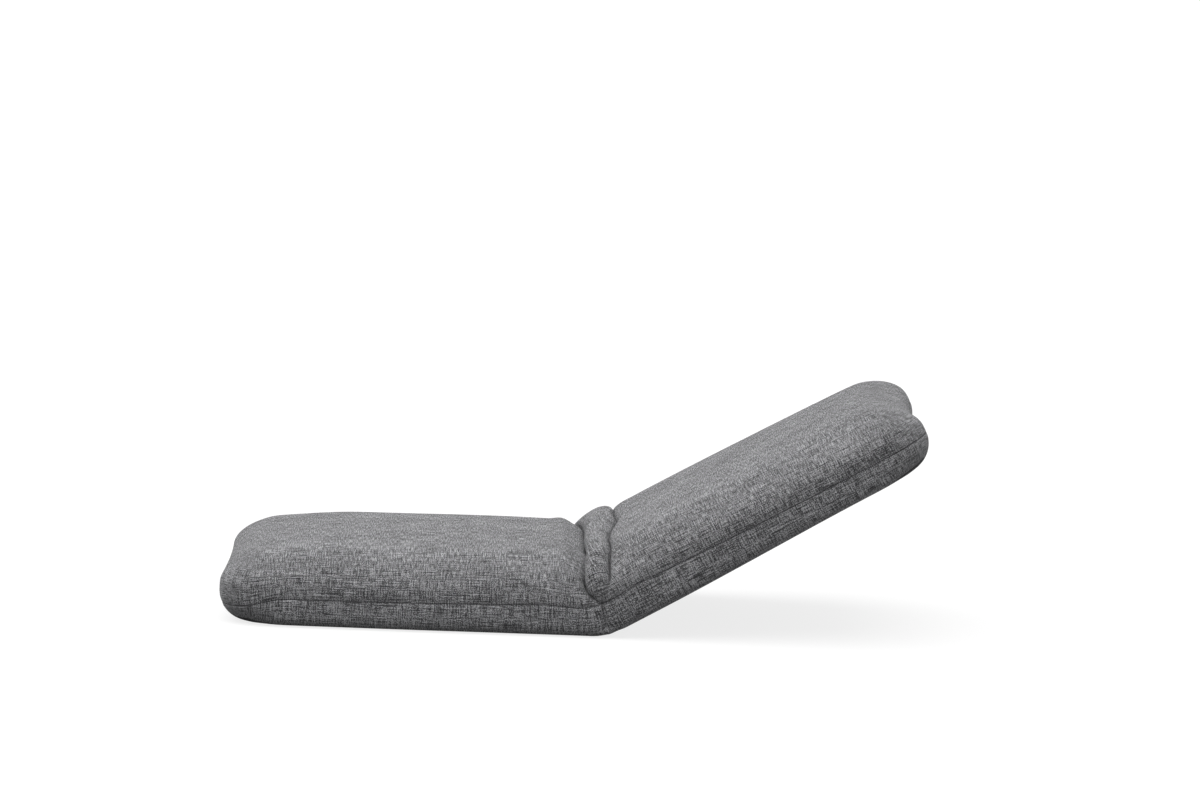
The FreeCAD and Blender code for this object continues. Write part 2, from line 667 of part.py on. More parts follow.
def hinge(side, offset):
    """Clevis, tongue, pivot, washers, pawl, pin and spring of one side."""
    pieces = []
    name = side + "_clevis"
    body = new_body("work_" + name)
    sketch = ring(on_plane(body, name + "_disc_round", "XZ_Plane"), "0", "0", "cheek_radius")
    feature(body, "Pad", name + "_disc", sketch, cheeks, both=True)
    sketch = outline(
        on_plane(body, name + "_arm_outline", "XZ_Plane"),
        [("0", "-arm_half"), ("tube_start - 0.2", "-arm_half"), ("tube_start - 0.2", "arm_half"),
         ("0", "arm_half")],
    )
    feature(body, "Pad", name + "_arm", sketch, cheeks, both=True)
    sketch = outline(
        on_plane(body, name + "_slot_outline", "XZ_Plane"),
        [("-60", "-60"), ("lug_start", "-60"), ("lug_start", "60"), ("-60", "60")],
    )
    feature(body, "Pocket", name + "_slot", sketch, slot, both=True)
    spigot_on(body, name)
    sketch = ring(on_plane(body, name + "_pivot_round", "XZ_Plane"), "0", "0", "pivot_outer / 2 + pin_gap")
    feature(body, "Pocket", name + "_pivot_hole", sketch, None, both=True)
    sketch = ring(on_plane(body, name + "_pin_round", "XZ_Plane"), "pawl_x", "-pawl_drop",
                  "pin_outer / 2 + pin_gap")
    feature(body, "Pocket", name + "_pin_hole", sketch, None, both=True)
    pieces.append((body, side + "_hinge_clevis", "seat"))

    name = side + "_tongue"
    body = new_body("work_" + name)
    sketch = ring(on_plane(body, name + "_disc_round", "XZ_Plane"), "0", "0", "tooth_tip")
    feature(body, "Pad", name + "_disc", sketch, "tongue_wall", both=True)
    sketch = outline(
        on_plane(body, name + "_arm_outline", "XZ_Plane"),
        [("0", "-arm_half"), ("tube_start - 0.2", "-arm_half"), ("tube_start - 0.2", "arm_half"),
         ("0", "arm_half")],
    )
    feature(body, "Pad", name + "_arm", sketch, "tongue_wall", both=True)
    sketch = outline(
        on_plane(body, name + "_lug_outline", "XZ_Plane"),
        [("lug_start", "-arm_half"), ("tube_start - 0.2", "-arm_half"), ("tube_start - 0.2", "arm_half"),
         ("lug_start", "arm_half")],
    )
    feature(body, "Pad", name + "_lug", sketch, cheeks, both=True)
    spigot_on(body, name)
    sketch = ring(on_plane(body, name + "_pivot_round", "XZ_Plane"), "0", "0", "pivot_outer / 2 + pin_gap")
    feature(body, "Pocket", name + "_pivot_hole", sketch, None, both=True)
    # The gap between two teeth: a radial face that takes the load and a sloped face that lets the pawl
    # ride out when the back is raised. The first gap is the one in use at the largest fold.
    first = "(225deg - 90deg)"
    root = "(tooth_tip - tooth_depth)"
    tip = "(tooth_tip + 1)"
    slant = "(tooth_pitch * 0.8deg)"
    notch = outline(
        on_plane(body, name + "_tooth_outline", "XZ_Plane"),
        [("%s * cos(%s)" % (root, first), "%s * sin(%s)" % (root, first)),
         ("%s * cos(%s)" % (tip, first), "%s * sin(%s)" % (tip, first)),
         ("%s * cos(%s - %s)" % (tip, first, slant), "%s * sin(%s - %s)" % (tip, first, slant))],
    )
    cut = feature(body, "Pocket", name + "_tooth", notch, None, both=True)
    around = body.newObject("PartDesign::PolarPattern", name + "_teeth")
    around.Originals = [cut]
    axis = [item for item in body.Origin.OriginFeatures if item.Role == "Y_Axis"][0]
    around.Axis = (axis, [""])
    around.Reversed = True
    bind(around, "Angle", "tooth_pitch * (tooth_count - 1)")
    bind(around, "Occurrences", "tooth_count")
    body.Tip = around
    doc.recompute()
    pieces.append((body, side + "_hinge_tongue", "back"))

    pieces.append((rivet_pin(side + "_pivot", "0", "0", "pivot_outer", "2"), side + "_pivot_rivet", "seat"))
    pieces.append((rivet_pin(side + "_pin", "pawl_x", "-pawl_drop", "pin_outer", "1.5"), side + "_pawl_pin",
                   "seat"))

    name = side + "_washer"
    rings = []
    for way, sign in (("inner", "-"), ("outer", "")):
        body = new_body("work_%s_%s" % (name, way))
        face = "(%s(tongue_wall / 2 + 0.05 + washer_wall / 2) - washer_wall / 2)" % sign
        sketch = on_plane(body, "%s_%s_round" % (name, way), "XZ_Plane", face)
        ring(sketch, "0", "0", "pivot_outer + 1")
        ring(sketch, "0", "0", "pivot_outer / 2 + pin_gap")
        feature(body, "Pad", "%s_%s_pad" % (name, way), sketch, "washer_wall")
        rings.append(body)
    pair = doc.addObject("Part::Compound", "work_" + name + "s")
    pair.Links = rings
    doc.recompute()
    pieces.append((pair, side + "_pivot_washers", "seat"))

    # The pawl reaches from its pin to the tooth gap 45 degrees below the hinge line.
    name = side + "_pawl"
    body = new_body("work_" + name)
    gap_at = "315deg"
    slack = "0.9deg"
    nose = "(tooth_tip - tooth_depth + 0.5)"
    wide = "(tooth_tip + 0.9)"
    chin = "(tooth_tip + 2.5)"
    belly = "(tooth_tip + 5)"
    bite = "(%s + %s)" % (gap_at, slack)
    lead = "(%s + %s * 0.6)" % (gap_at, slant)
    under = "(%s - 3deg)" % gap_at
    tail = "pawl_x + pin_outer * 0.9"
    corners = [
        ("%s * cos(%s)" % (nose, bite), "%s * sin(%s)" % (nose, bite)),
        ("%s * cos(%s)" % (wide, lead), "%s * sin(%s)" % (wide, lead)),
        ("pawl_x - 1.5", "-pawl_drop + pin_outer * 0.78"),
        (tail, "-pawl_drop + pin_outer * 0.6"),
        (tail, "-pawl_drop - pin_outer * 0.7"),
        ("%s * cos(%s)" % (belly, under), "%s * sin(%s)" % (belly, under)),
        ("%s * cos(%s)" % (chin, bite), "%s * sin(%s)" % (chin, bite)),
    ]
    sketch = outline(on_plane(body, name + "_outline", "XZ_Plane"), corners)
    feature(body, "Pad", name + "_pad", sketch, "tongue_wall", both=True)
    sketch = ring(on_plane(body, name + "_hole_round", "XZ_Plane"), "pawl_x", "-pawl_drop",
                  "pin_outer / 2 + pin_gap")
    feature(body, "Pocket", name + "_hole", sketch, None, both=True)
    pieces.append((body, side + "_pawl", "seat"))

    name = side + "_spring"
    body = new_body("work_" + name)
    seat_face = "lug_start - 0.02"
    leaf_tip = "((tooth_tip + 8) * 0.72)"
    leaf_top = "((tooth_tip + 7.2) * 0.72)"
    corners = [
        (seat_face, "-arm_half + 3"), (seat_face, "-arm_half + 2.4"), ("pawl_x + 4", "-pawl_drop - 9.2"),
        (leaf_tip, "-" + leaf_tip), (leaf_tip, "-" + leaf_top), ("pawl_x + 4.2", "-pawl_drop - 8.6"),
    ]
    sketch = outline(on_plane(body, name + "_outline", "XZ_Plane"), corners)
    feature(body, "Pad", name + "_pad", sketch, "tongue_wall - 1", both=True)
    pieces.append((body, side + "_pawl_spring", "seat"))

    for body, label, section in pieces:
        keep(body, label, section)
        bind(body, "Placement.Base.y", offset)


def rivet_pin(name, x, z, outer, head):
    """Headed pin through both cheeks of a clevis."""
    body = new_body("work_" + name + "_rivet")
    sketch = ring(on_plane(body, name + "_shank_round", "XZ_Plane"), x, z, outer + " / 2")
    feature(body, "Pad", name + "_shank", sketch, cheeks + " + %s" % head, both=True)
    for way, face in (("inner", "(%s / 2)" % cheeks), ("outer", "(-%s / 2 - %s)" % (cheeks, head))):
        sketch = on_plane(body, "%s_%s_round" % (name, way), "XZ_Plane", face)
        ring(sketch, x, z, outer + " * 0.82")
        feature(body, "Pad", "%s_%s_head" % (name, way), sketch, head)
    return body


hinge("right", "-rail_offset")
hinge("left", "rail_offset")

# Zip in its well on the rear of the back, near the head end.
zip_at = "(back_length - zip_setback)"
bed = "(-pivot_height + zip_depth)"
body = new_body("work_zip_tape")
tape_x = "(zip_width / 2 + cover_wall)"
tape_y = "(zip_length / 2 + cover_wall)"
sketch = outline(
    on_plane(body, "zip_tape_outline", "XY_Plane", bed + " + 0.02"),
    [(zip_at + " - " + tape_x, "-" + tape_y), (zip_at + " + " + tape_x, "-" + tape_y),
     (zip_at + " + " + tape_x, tape_y), (zip_at + " - " + tape_x, tape_y)],
)
feature(body, "Pad", "zip_tape_pad", sketch, "1")
keep(body, "zip_tape", "back")

body = new_body("work_zip_coil")
sketch = outline(
    on_plane(body, "zip_coil_outline", "XZ_Plane"),
    [(zip_at + " - coil_width / 2", bed), (zip_at + " - coil_width / 2", bed + " - coil_wall * 0.6"),
     (zip_at + " + coil_width / 2", bed + " - coil_wall * 0.6"), (zip_at + " + coil_width / 2", bed)],
    {1: "coil_wall * 0.4"},
)
feature(body, "Pad", "zip_coil_pad", sketch, "zip_length - 10", both=True)
keep(body, "zip_coil", "back")

# The slider runs on the coil; its two ears hold a cross pin for the eye of the pull tab.
body = new_body("work_zip_slider")
name = "zip_slider"
parked = "(zip_length / 2 - 18)"
plate = "(%s - coil_wall - 1.6)" % bed
pin_z = "(%s - 1.9)" % plate
pin_radius = "0.75"
rim = bed + " - 0.3"
roof = bed + " - coil_wall - 0.4"
edge = "slider_width / 2"
channel = "(coil_width / 2 + 0.4)"
sketch = outline(
    on_plane(body, name + "_outline", "XZ_Plane", "-%s - slider_length / 2" % parked),
    [(zip_at + " - " + edge, rim), (zip_at + " - " + edge, plate),
     (zip_at + " + " + edge, plate), (zip_at + " + " + edge, rim),
     (zip_at + " + " + channel, rim), (zip_at + " + " + channel, roof),
     (zip_at + " - " + channel, roof), (zip_at + " - " + channel, rim)],
)
feature(body, "Pad", name + "_pad", sketch, "slider_length")
ear_foot = plate + " + 0.4"
for way, stop in (("right", "-3.2"), ("left", "2")):
    sketch = on_plane(body, "%s_%s_ear" % (name, way), "YZ_Plane", "%s + (%s)" % (zip_at, stop))
    outline(
        sketch,
        [(parked + " - 1.7", ear_foot), (parked + " - 1.7", pin_z), (parked + " + 1.7", pin_z),
         (parked + " + 1.7", ear_foot)],
        {1: "1.6"},
    )
    feature(body, "Pad", "%s_%s_ear_pad" % (name, way), sketch, "1.2")
sketch = on_plane(body, name + "_pin_round", "YZ_Plane", zip_at + " - 2.6")
ring(sketch, parked, pin_z, pin_radius)
feature(body, "Pad", name + "_pin", sketch, "5.2")
keep(body, "zip_slider", "back")

body = new_body("work_zip_pull")
name = "zip_pull"
neck = "1.75"
tab = "3"
neck_end = parked + " - 5"
tab_start = parked + " - 7"
sketch = ring(on_plane(body, name + "_eye_round", "YZ_Plane", zip_at + " - " + neck), parked, pin_z, "1.6")
feature(body, "Pad", name + "_eye", sketch, "3.5")
tail = "(%s - pull_length)" % parked
sketch = outline(
    on_plane(body, name + "_outline", "XY_Plane", pin_z + " - 0.7"),
    [(zip_at + " - " + neck, parked), (zip_at + " - " + neck, neck_end), (zip_at + " - " + tab, tab_start),
     (zip_at + " - " + tab, tail), (zip_at + " + " + tab, tail), (zip_at + " + " + tab, tab_start),
     (zip_at + " + " + neck, neck_end), (zip_at + " + " + neck, parked)],
    {3: "2"},
)
feature(body, "Pad", name + "_pad", sketch, "1.4")
sketch = ring(on_plane(body, name + "_hole_round", "YZ_Plane"), parked, pin_z, pin_radius + " + pin_gap")
feature(body, "Pocket", name + "_hole", sketch, None, both=True)
keep(body, "zip_pull", "back")

doc.recompute()

troubled = []
for item in doc.Objects:
    if "Invalid" in item.State or "Error" in item.State:
        troubled.append(item.Name)
if troubled:
    raise RuntimeError("features in trouble: " + ", ".join(troubled))

os.makedirs("parts", exist_ok=True)
for item in KEEP:
    shape = item.Shape
    if shape.isNull() or not shape.isValid() or shape.Volume < 1.0:
        raise RuntimeError("bad shape: " + item.Label)
    shape.exportStep("parts/%s.step" % item.Label)
    box = shape.BoundBox
    extent = (box.XMin, box.XMax, box.YMin, box.YMax, box.ZMin, box.ZMax)
    print("%-24s solids %d volume %10.0f" % (item.Label, len(shape.Solids), shape.Volume))
    print("    x %7.1f..%7.1f y %7.1f..%7.1f z %6.1f..%6.1f" % extent)
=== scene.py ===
"""Dresses the folding floor lounge chair: a padded woven cover that gathers at the fold, zip and steel."""
import json
import math

import bmesh
import bpy
import numpy as np
from mathutils import Matrix, Vector


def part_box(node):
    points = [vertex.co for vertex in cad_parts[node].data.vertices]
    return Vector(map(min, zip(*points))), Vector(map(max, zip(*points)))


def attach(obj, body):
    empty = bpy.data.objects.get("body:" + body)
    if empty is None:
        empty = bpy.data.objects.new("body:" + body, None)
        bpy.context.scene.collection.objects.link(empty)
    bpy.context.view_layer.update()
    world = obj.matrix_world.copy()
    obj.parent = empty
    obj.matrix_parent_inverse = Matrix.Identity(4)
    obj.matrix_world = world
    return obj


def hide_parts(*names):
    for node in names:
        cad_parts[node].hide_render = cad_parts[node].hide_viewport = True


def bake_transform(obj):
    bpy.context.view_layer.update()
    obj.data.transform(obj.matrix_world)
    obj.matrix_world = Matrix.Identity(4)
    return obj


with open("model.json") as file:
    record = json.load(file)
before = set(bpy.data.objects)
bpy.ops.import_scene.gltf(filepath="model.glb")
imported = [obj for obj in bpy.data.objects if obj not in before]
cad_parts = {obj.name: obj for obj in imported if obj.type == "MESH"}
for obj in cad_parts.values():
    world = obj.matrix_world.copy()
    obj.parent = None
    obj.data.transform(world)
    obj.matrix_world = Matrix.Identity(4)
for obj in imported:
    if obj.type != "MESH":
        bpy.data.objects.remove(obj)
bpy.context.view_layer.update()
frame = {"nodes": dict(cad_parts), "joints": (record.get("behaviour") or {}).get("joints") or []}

bl_info = {
    "name": "Folding floor lounge chair",
    "version": (1, 0, 0),
    "blender": (4, 5, 0),
    "location": "View3D > Sidebar > Floor chair",
    "description": "Builds the woven cover, the zip and the stage around the packed chair",
    "category": "Object",
}

SOFT_NODES = (
    "seat_cover_top", "seat_cover_bottom", "seat_foam_upper", "seat_foam_lower", "seat_fold_shoulder",
    "back_cover_top", "back_cover_bottom", "back_foam_upper", "back_foam_lower", "back_fold_shoulder",
    "fold_middle_pleat", "fold_under_cover", "hinge_foam_core",
)
FOLD_JOINT = [joint for joint in frame["joints"] if joint["name"] == "backrest_fold"][0]
HINGE = Vector(FOLD_JOINT["pos_m"])
REST_FOLD = math.radians(-FOLD_JOINT["range_deg"][0])
BACK_TURN = Matrix.Translation(HINGE) @ Matrix.Rotation(-REST_FOLD, 4, "Y")
SEAT_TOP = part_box("seat_cover_top")
SEAT_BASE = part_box("seat_cover_bottom")


def back_box(node):
    """Corners of a CAD node in the back's own directions, measured from the hinge axis."""
    flat = BACK_TURN.inverted()
    spots = [flat @ vert.co for vert in frame["nodes"][node].data.vertices]
    low = Vector(min(spot[axis] for spot in spots) for axis in range(3))
    high = Vector(max(spot[axis] for spot in spots) for axis in range(3))
    return low, high


TAPE = back_box("zip_tape")
COIL = back_box("zip_coil")


def length(name, note, default):
    """A size in metres."""
    return bpy.props.FloatProperty(name=name, description=note, default=default, unit="LENGTH", precision=4)


def paint(name, note, default):
    """A colour."""
    return bpy.props.FloatVectorProperty(
        name=name, description=note, default=default, subtype="COLOR", size=3, min=0, max=1)


def number(name, note, default):
    """A plain number."""
    return bpy.props.FloatProperty(name=name, description=note, default=default)


def angle(name, note, degrees):
    """An angle, given in degrees."""
    return bpy.props.FloatProperty(
        name=name, description=note, default=math.radians(degrees), subtype="ANGLE")


def direction(name, note, default):
    """A direction, as a vector."""
    return bpy.props.FloatVectorProperty(
        name=name, description=note, default=default, subtype="DIRECTION", size=3)


class CoverSizes(bpy.types.PropertyGroup):
    """Sizes of the padded cover, laid flat and measured from the hinge axis"""

    seat_length: length("Seat length", "Hinge axis to the foot end", HINGE.x - SEAT_TOP[0].x - 0.003)
    back_length: length("Back length", "Hinge axis to the head end", 0.547)
    half_width: length("Half width", "Middle to the ears of a section", SEAT_TOP[1].y)
    top: length("Top", "Crown above the hinge axis", SEAT_TOP[1].z - HINGE.z)
    floor: length("Floor", "Floor below the hinge axis", HINGE.z)
    seam: length("Seam", "Seam above the hinge axis", SEAT_BASE[1].z - HINGE.z + 0.003)
    seam_dip: length("Seam dip", "How far the seam runs down at the foot", 0.017)
    seam_rise: length("Seam rise", "How far the seam climbs towards the fold", 0.006)
    seam_draw: length("Seam draw", "How far the seam pulls the cloth in", 0.0010)
    band_join: length("Band join", "Foot end to the sewn join of the lower band", 0.047)
    ear_radius: length("Ear radius", "Plan radius of the end corners", 0.062)
    shoulder_radius: length("Shoulder height", "Height of the rounded top edges at the sides", 0.062)
    shoulder_reach: length("Shoulder reach", "How far in from the sides that rounding starts", 0.074)
    foot_radius: length("Foot height", "Height of the rounded top edge at the foot", 0.057)
    foot_reach: length("Foot reach", "How far in from the foot that rounding starts", 0.080)
    head_radius: length("Head height", "Height of the rounded top edge at the head", 0.062)
    head_reach: length("Head reach", "How far in from the head that rounding starts", 0.073)
    under_radius: length("Under radius", "Rounding of the bottom edges at the sides", 0.019)
    end_under: length("End under radius", "Rounding of the bottom edges at the ends", 0.044)
    crown_drop: length("Crown drop", "How much lower the top is at the sides", 0.008)
    head_drop: length("Head drop", "How much thinner the back is at the head", 0.010)
    foot_ease: length("Foot ease", "How much the top slopes away at the foot", 0.010)
    seat_rise: length("Seat rise", "How much the top of the seat climbs towards the fold", 0.0030)
    back_sag: length("Back sag", "How far the underside of the back hangs", 0.0055)
    foot_draw: length("Foot draw", "How far the foot is drawn in between its ears", 0.003)
    head_draw: length("Head draw", "How far the head is drawn in between its ears", 0.009)
    side_draw: length("Side draw", "How far the sides are drawn in at the fold", 0.005)
    bend_reach: length("Bend reach", "Half the stretch over which the top of the cover bends", 0.085)
    corner_reach: length("Corner reach", "Half the stretch over which its underside bends", 0.012)
    pressure: number("Pressure", "How hard the padding is blown out", 1.5)
    swell_cap: length("Swell cap", "Furthest that the padding may swell", 0.004)
    fill: number("Fill", "How tight the padding is, from 0 to 1", 0.8)


class FoldSizes(bpy.types.PropertyGroup):
    """Sizes of the gathered cloth between the sections, laid flat"""

    roll_half: length("Roll half width", "Middle of the gathered roll to its creases", 0.030)
    roll_foot: length("Roll foot", "Where the roll ends, above the hinge axis", 0.012)
    roll_middle: length("Roll middle", "How far the roll lies behind the hinge axis", 0.015)
    roll_lean: length("Roll lean", "How far the far end of the roll lies towards the back", 0.011)
    roll_rise: length("Roll rise", "How far the roll stands above the pads", 0.0165)
    far_drift: length("Far drift", "How far the roll swings towards the seat at the far side", 0.022)
    crease_top: length("Top crease", "Depth of the creases on top", 0.021)
    crease_side: length("Side crease", "Depth of the creases at the sides", 0.021)
    shoulder_run: length("Shoulder run", "Length over which a pad rounds into its crease", 0.028)
    seat_ridge: length("Seat ridge", "How far the seat swells before the fold", 0.006)
    band_crease: length("Band crease", "Depth of the crease in the lower band", 0.010)
    pleat: length("Pleat", "Height of the small pleats at the foot of the roll", 0.0020)
    pleat_pitch: length("Pleat pitch", "Distance between the small pleats", 0.0095)
    wrinkle: length("Wrinkle", "Height of the wrinkles beside the lower crease", 0.0011)


class ClothLook(bpy.types.PropertyGroup):
    """Colours and yarns of the cover"""

    light_yarn: paint("Light yarn", "Colour of the pale yarn", (0.76, 0.76, 0.785))
    dark_yarn: paint("Dark yarn", "Colour of the dark yarn", (0.05, 0.05, 0.052))
    under_light: paint("Under light yarn", "Pale yarn of the underside", (0.07, 0.07, 0.073))
    under_dark: paint("Under dark yarn", "Dark yarn of the underside", (0.012, 0.012, 0.013))
    yarn: length("Yarn", "Width of a yarn", 0.00115)


class ZipSizes(bpy.types.PropertyGroup):
    """Sizes of the zip in the underside of the back"""

    seam_lap: length("Seam lap", "How far the tape reaches under the cloth", 0.002)
    tooth_pitch: length("Tooth pitch", "Distance between teeth on one side", 0.0021)
    tooth_wide: length("Tooth width", "Width of one tooth along the zip", 0.0012)
    stitch_pitch: length("Stitch pitch", "Distance between stitches", 0.0042)
    stitch_long: length("Stitch length", "Length of one stitch", 0.0030)
    stitch_thick: length("Stitch thickness", "Thickness of the thread", 0.0007)
    stitch_inset: length("Stitch inset", "Edge of the well to the stitches", 0.004)


class SpringSizes(bpy.types.PropertyGroup):
    """Sizes of the leaf springs under the pawls"""

    thick: length("Thickness", "Thickness of the leaf", 0.0005)
    bow: length("Bow", "How far the leaf bows away from the pawl", 0.0004)
    taper: number("Taper", "Share of its width that the tip loses", 0.35)
    bend_share: number("Bend share", "Share of the leaf that bends as the pawl lifts", 0.45)


class StageLook(bpy.types.PropertyGroup):
    """Camera, lamp and floor"""

    azimuth: angle("Azimuth", "Camera turn about the chair, from straight at the side", -0.74)
    elevation: angle("Elevation", "Camera height", 6.33)
    roll: angle("Roll", "Camera roll", 2.23)
    distance: length("Distance", "Camera to its aim", 9.0)
    aim: bpy.props.FloatVectorProperty(
        name="Aim", description="Point at the middle of the picture", default=(0.2734, 0.0, 0.318), size=3,
        subtype="XYZ")
    lens: number("Lens", "Focal length in millimetres", 182.0)
    floor_paint: paint("Floor", "Colour of the floor", (0.24, 0.24, 0.24))
    floor_glow: number("Floor glow", "How much of the floor's white the camera sees anyway", 0.80)
    ambient: number("Ambient", "Light from all round", 0.32)
    sun: number("Lamp", "Strength of the broad lamp", 2.6)
    sun_from: direction("Lamp from", "Where the broad lamp shines from", (-0.30, -0.14, 0.94))
    fill: number("Fill lamp", "Strength of the lamp at the head end", 0.45)
    fill_from: direction("Fill from", "Where the fill lamp shines from", (0.70, -0.12, 0.66))
    sun_spread: angle("Lamp spread", "How wide the lamp looks from the chair", 80)


def look(name):
    """The scene's settings of one kind."""
    return getattr(bpy.context.scene, "floor_chair_" + name)


def smooth_step(low, high, value):
    """0 at low, 1 at high, easing between."""
    part = min(max((value - low) / (high - low), 0.0), 1.0)
    return part * part * (3 - 2 * part)


def spread(*stretches):
    """Positions along one direction: each stretch is (start, end, step), joined end to end."""
    places = [stretches[0][0]]
    for start, end, step in stretches:
        count = max(1, round(abs(end - start) / step))
        places += [start + (end - start) * part / count for part in range(1, count + 1)]
    return places


def new_piece(name, bm, *materials):
    """Turn a bmesh into an object of the scene."""
    mesh = bpy.data.meshes.new(name)
    bm.to_mesh(mesh)
    bm.free()
    mesh.shade_smooth()
    for material in materials:
        mesh.materials.append(material)
    piece = bpy.data.objects.new(name, mesh)
    bpy.context.scene.collection.objects.link(piece)
    return piece


def lattice(bm, lines):
    """Closed box whose faces are cut along the given lines in x, y and z."""
    bmesh.ops.create_cube(bm, size=2.0)
    for axis, places in enumerate(lines):
        along = [edge for edge in bm.edges if abs((edge.verts[0].co - edge.verts[1].co)[axis]) > 1e-6]
        bmesh.ops.subdivide_edges(bm, edges=along, cuts=len(places) - 2, use_grid_fill=True)
    for vert in bm.verts:
        vert.co = Vector(
            places[round((vert.co[axis] + 1) / 2 * (len(places) - 1))] for axis, places in enumerate(lines))


def well_box():
    """Start and end of the zip's well along the back, and half its length across."""
    lap = look("zip").seam_lap
    return TAPE[0].x + lap, TAPE[1].x - lap, TAPE[1].y - lap


def cover_lines(sizes):
    """Where the cover's faces are cut: fine at the ends, the fold, the seam and the zip's well."""
    foot = -sizes.seat_length
    head = sizes.back_length
    half = sizes.half_width
    seam = sizes.seam
    join = foot + sizes.band_join
    well_start, well_end, well_half = well_box()
    inner = well_half - 0.025
    foot_end = foot + 0.09
    fold_start, roll_start, roll_end, fold_end = -0.10, -0.04, 0.09, 0.13
    plain, close, fine = 0.0135, 0.0045, 0.0028
    beside_join = 0.004
    beside_seam = 0.003
    along = spread(
        (foot, join - beside_join, 0.0065), (join - beside_join, join + beside_join, beside_join),
        (join + beside_join, foot_end, 0.008), (foot_end, fold_start, plain), (fold_start, roll_start, close),
        (roll_start, roll_end, fine), (roll_end, fold_end, close), (fold_end, well_start, plain),
        (well_start, well_end, 0.0075), (well_end, head, 0.007))
    across = spread(
        (-half, -well_half, 0.0062), (-well_half, -inner, 0.0083), (-inner, inner, 0.0138),
        (inner, well_half, 0.0083), (well_half, half, 0.0062))
    up = spread(
        (-sizes.floor, seam - beside_seam, close), (seam - beside_seam, seam, beside_seam),
        (seam, seam + beside_seam, beside_seam), (seam + beside_seam, sizes.top, 0.006))
    return along, across, up


def sink_well(sizes, bm):
    """Sink the zip's well into the underside and keep its rim crisp."""
    start, end, half = well_box()
    wall = 0.0002
    rim_crease = 0.85
    bm.normal_update()
    inside = []
    for face in bm.faces:
        spot = face.calc_center_median()
        if face.normal.z < -0.5 and start < spot.x < end and abs(spot.y) < half:
            inside.append(face)
    depth = TAPE[1].z + sizes.floor
    walls = bmesh.ops.inset_region(
        bm, faces=inside, thickness=wall, depth=-depth, use_even_offset=True)["faces"]
    crease = bm.edges.layers.float.new("crease_edge")
    for face in walls:
        face.material_index = 1
        for edge in face.edges:
            edge[crease] = rim_crease


def lay_cloth(sizes, bm):
    """Lay the cloth's own coordinates, in metres, over the plain box and part top cloth from underside."""
    layer = bm.loops.layers.uv.new("cloth")
    turned_under = 0.010
    bm.normal_update()
    for face in bm.faces:
        side = face.normal
        for loop in face.loops:
            c, y, z = loop.vert.co
            drop = sizes.top - z
            if abs(side.z) > 0.5:
                place = (c, y)
            elif abs(side.y) > 0.5:
                place = (c, math.copysign(sizes.half_width + drop, y))
            else:
                place = (c + math.copysign(drop, c), y)
            loop[layer].uv = place
        spot = face.calc_center_median()
        inner = min(sizes.half_width - abs(spot.y), spot.x + sizes.seat_length, sizes.back_length - spot.x)
        face.material_index = 1 if side.z < -0.5 and inner > turned_under else 0


def sewn_distance(sizes, spot):
    """Distance from a point of the plain box to the nearest sewn line."""
    seam = abs(spot.z - sizes.seam)
    if spot.y > -sizes.half_width + 0.001:
        return seam
    join = math.hypot(spot.x + sizes.seat_length - sizes.band_join, max(0.0, spot.z - sizes.seam))
    return min(seam, join)


def squared_to_round(a, b):
    """Move a point of a square's rim onto the circle inside it."""
    far = math.hypot(a, b)
    if far < 1e-9:
        return a, b
    share = max(a, b) / far
    return a * share, b * share


# Stretches over which one form eases into the next: where it starts and where it is full. Those at an end
# are distances from it, SAG_STOP is in shares of the back's length and the others lie along the chair.
# The seam's climb fades over SEAM_CLIMB from the fold, and the crown has dropped in full at CROWN_HALF.
END_EASE = (0.10, 0.03)
SEAM_EASE = (0.10, 0.02)
FOOT_EASE = (0.19, 0.02)
RISE_EASE = (0.12, 0.45)
RISE_STOP = (-0.01, -0.06)
DRAW_EASE = (0.16, 0.0)
WAIST_EASE = (0.35, 0.0)
SAG_EASE = (-0.005, 0.03)
SAG_STOP = (0.15, 0.80)
SEAM_CLIMB = 0.2
CROWN_HALF = 0.3


def edge_rounding(sizes, c, near_end, lower):
    """Height of the upper or lower edge's rounding and its reach inwards, which change towards the ends."""
    at_end = smooth_step(*END_EASE, near_end)
    if lower:
        radius = sizes.under_radius + (sizes.end_under - sizes.under_radius) * at_end
        return radius, radius
    end = (sizes.head_radius, sizes.head_reach) if c > 0 else (sizes.foot_radius, sizes.foot_reach)
    radius = sizes.shoulder_radius + (end[0] - sizes.shoulder_radius) * at_end
    return radius, sizes.shoulder_reach + (end[1] - sizes.shoulder_reach) * at_end


def seam_path(sizes, c, z, near_end):
    """Height of a point once the seam climbs to the fold and dips at the foot."""
    room = sizes.top - sizes.seam if z > sizes.seam else sizes.seam + sizes.floor
    climb = sizes.seam_rise * math.exp(-(c / SEAM_CLIMB) ** 2)
    if c < 0:
        climb -= sizes.seam_dip * smooth_step(*SEAM_EASE, near_end)
    return z + climb * max(0.0, 1 - abs(z - sizes.seam) / room)


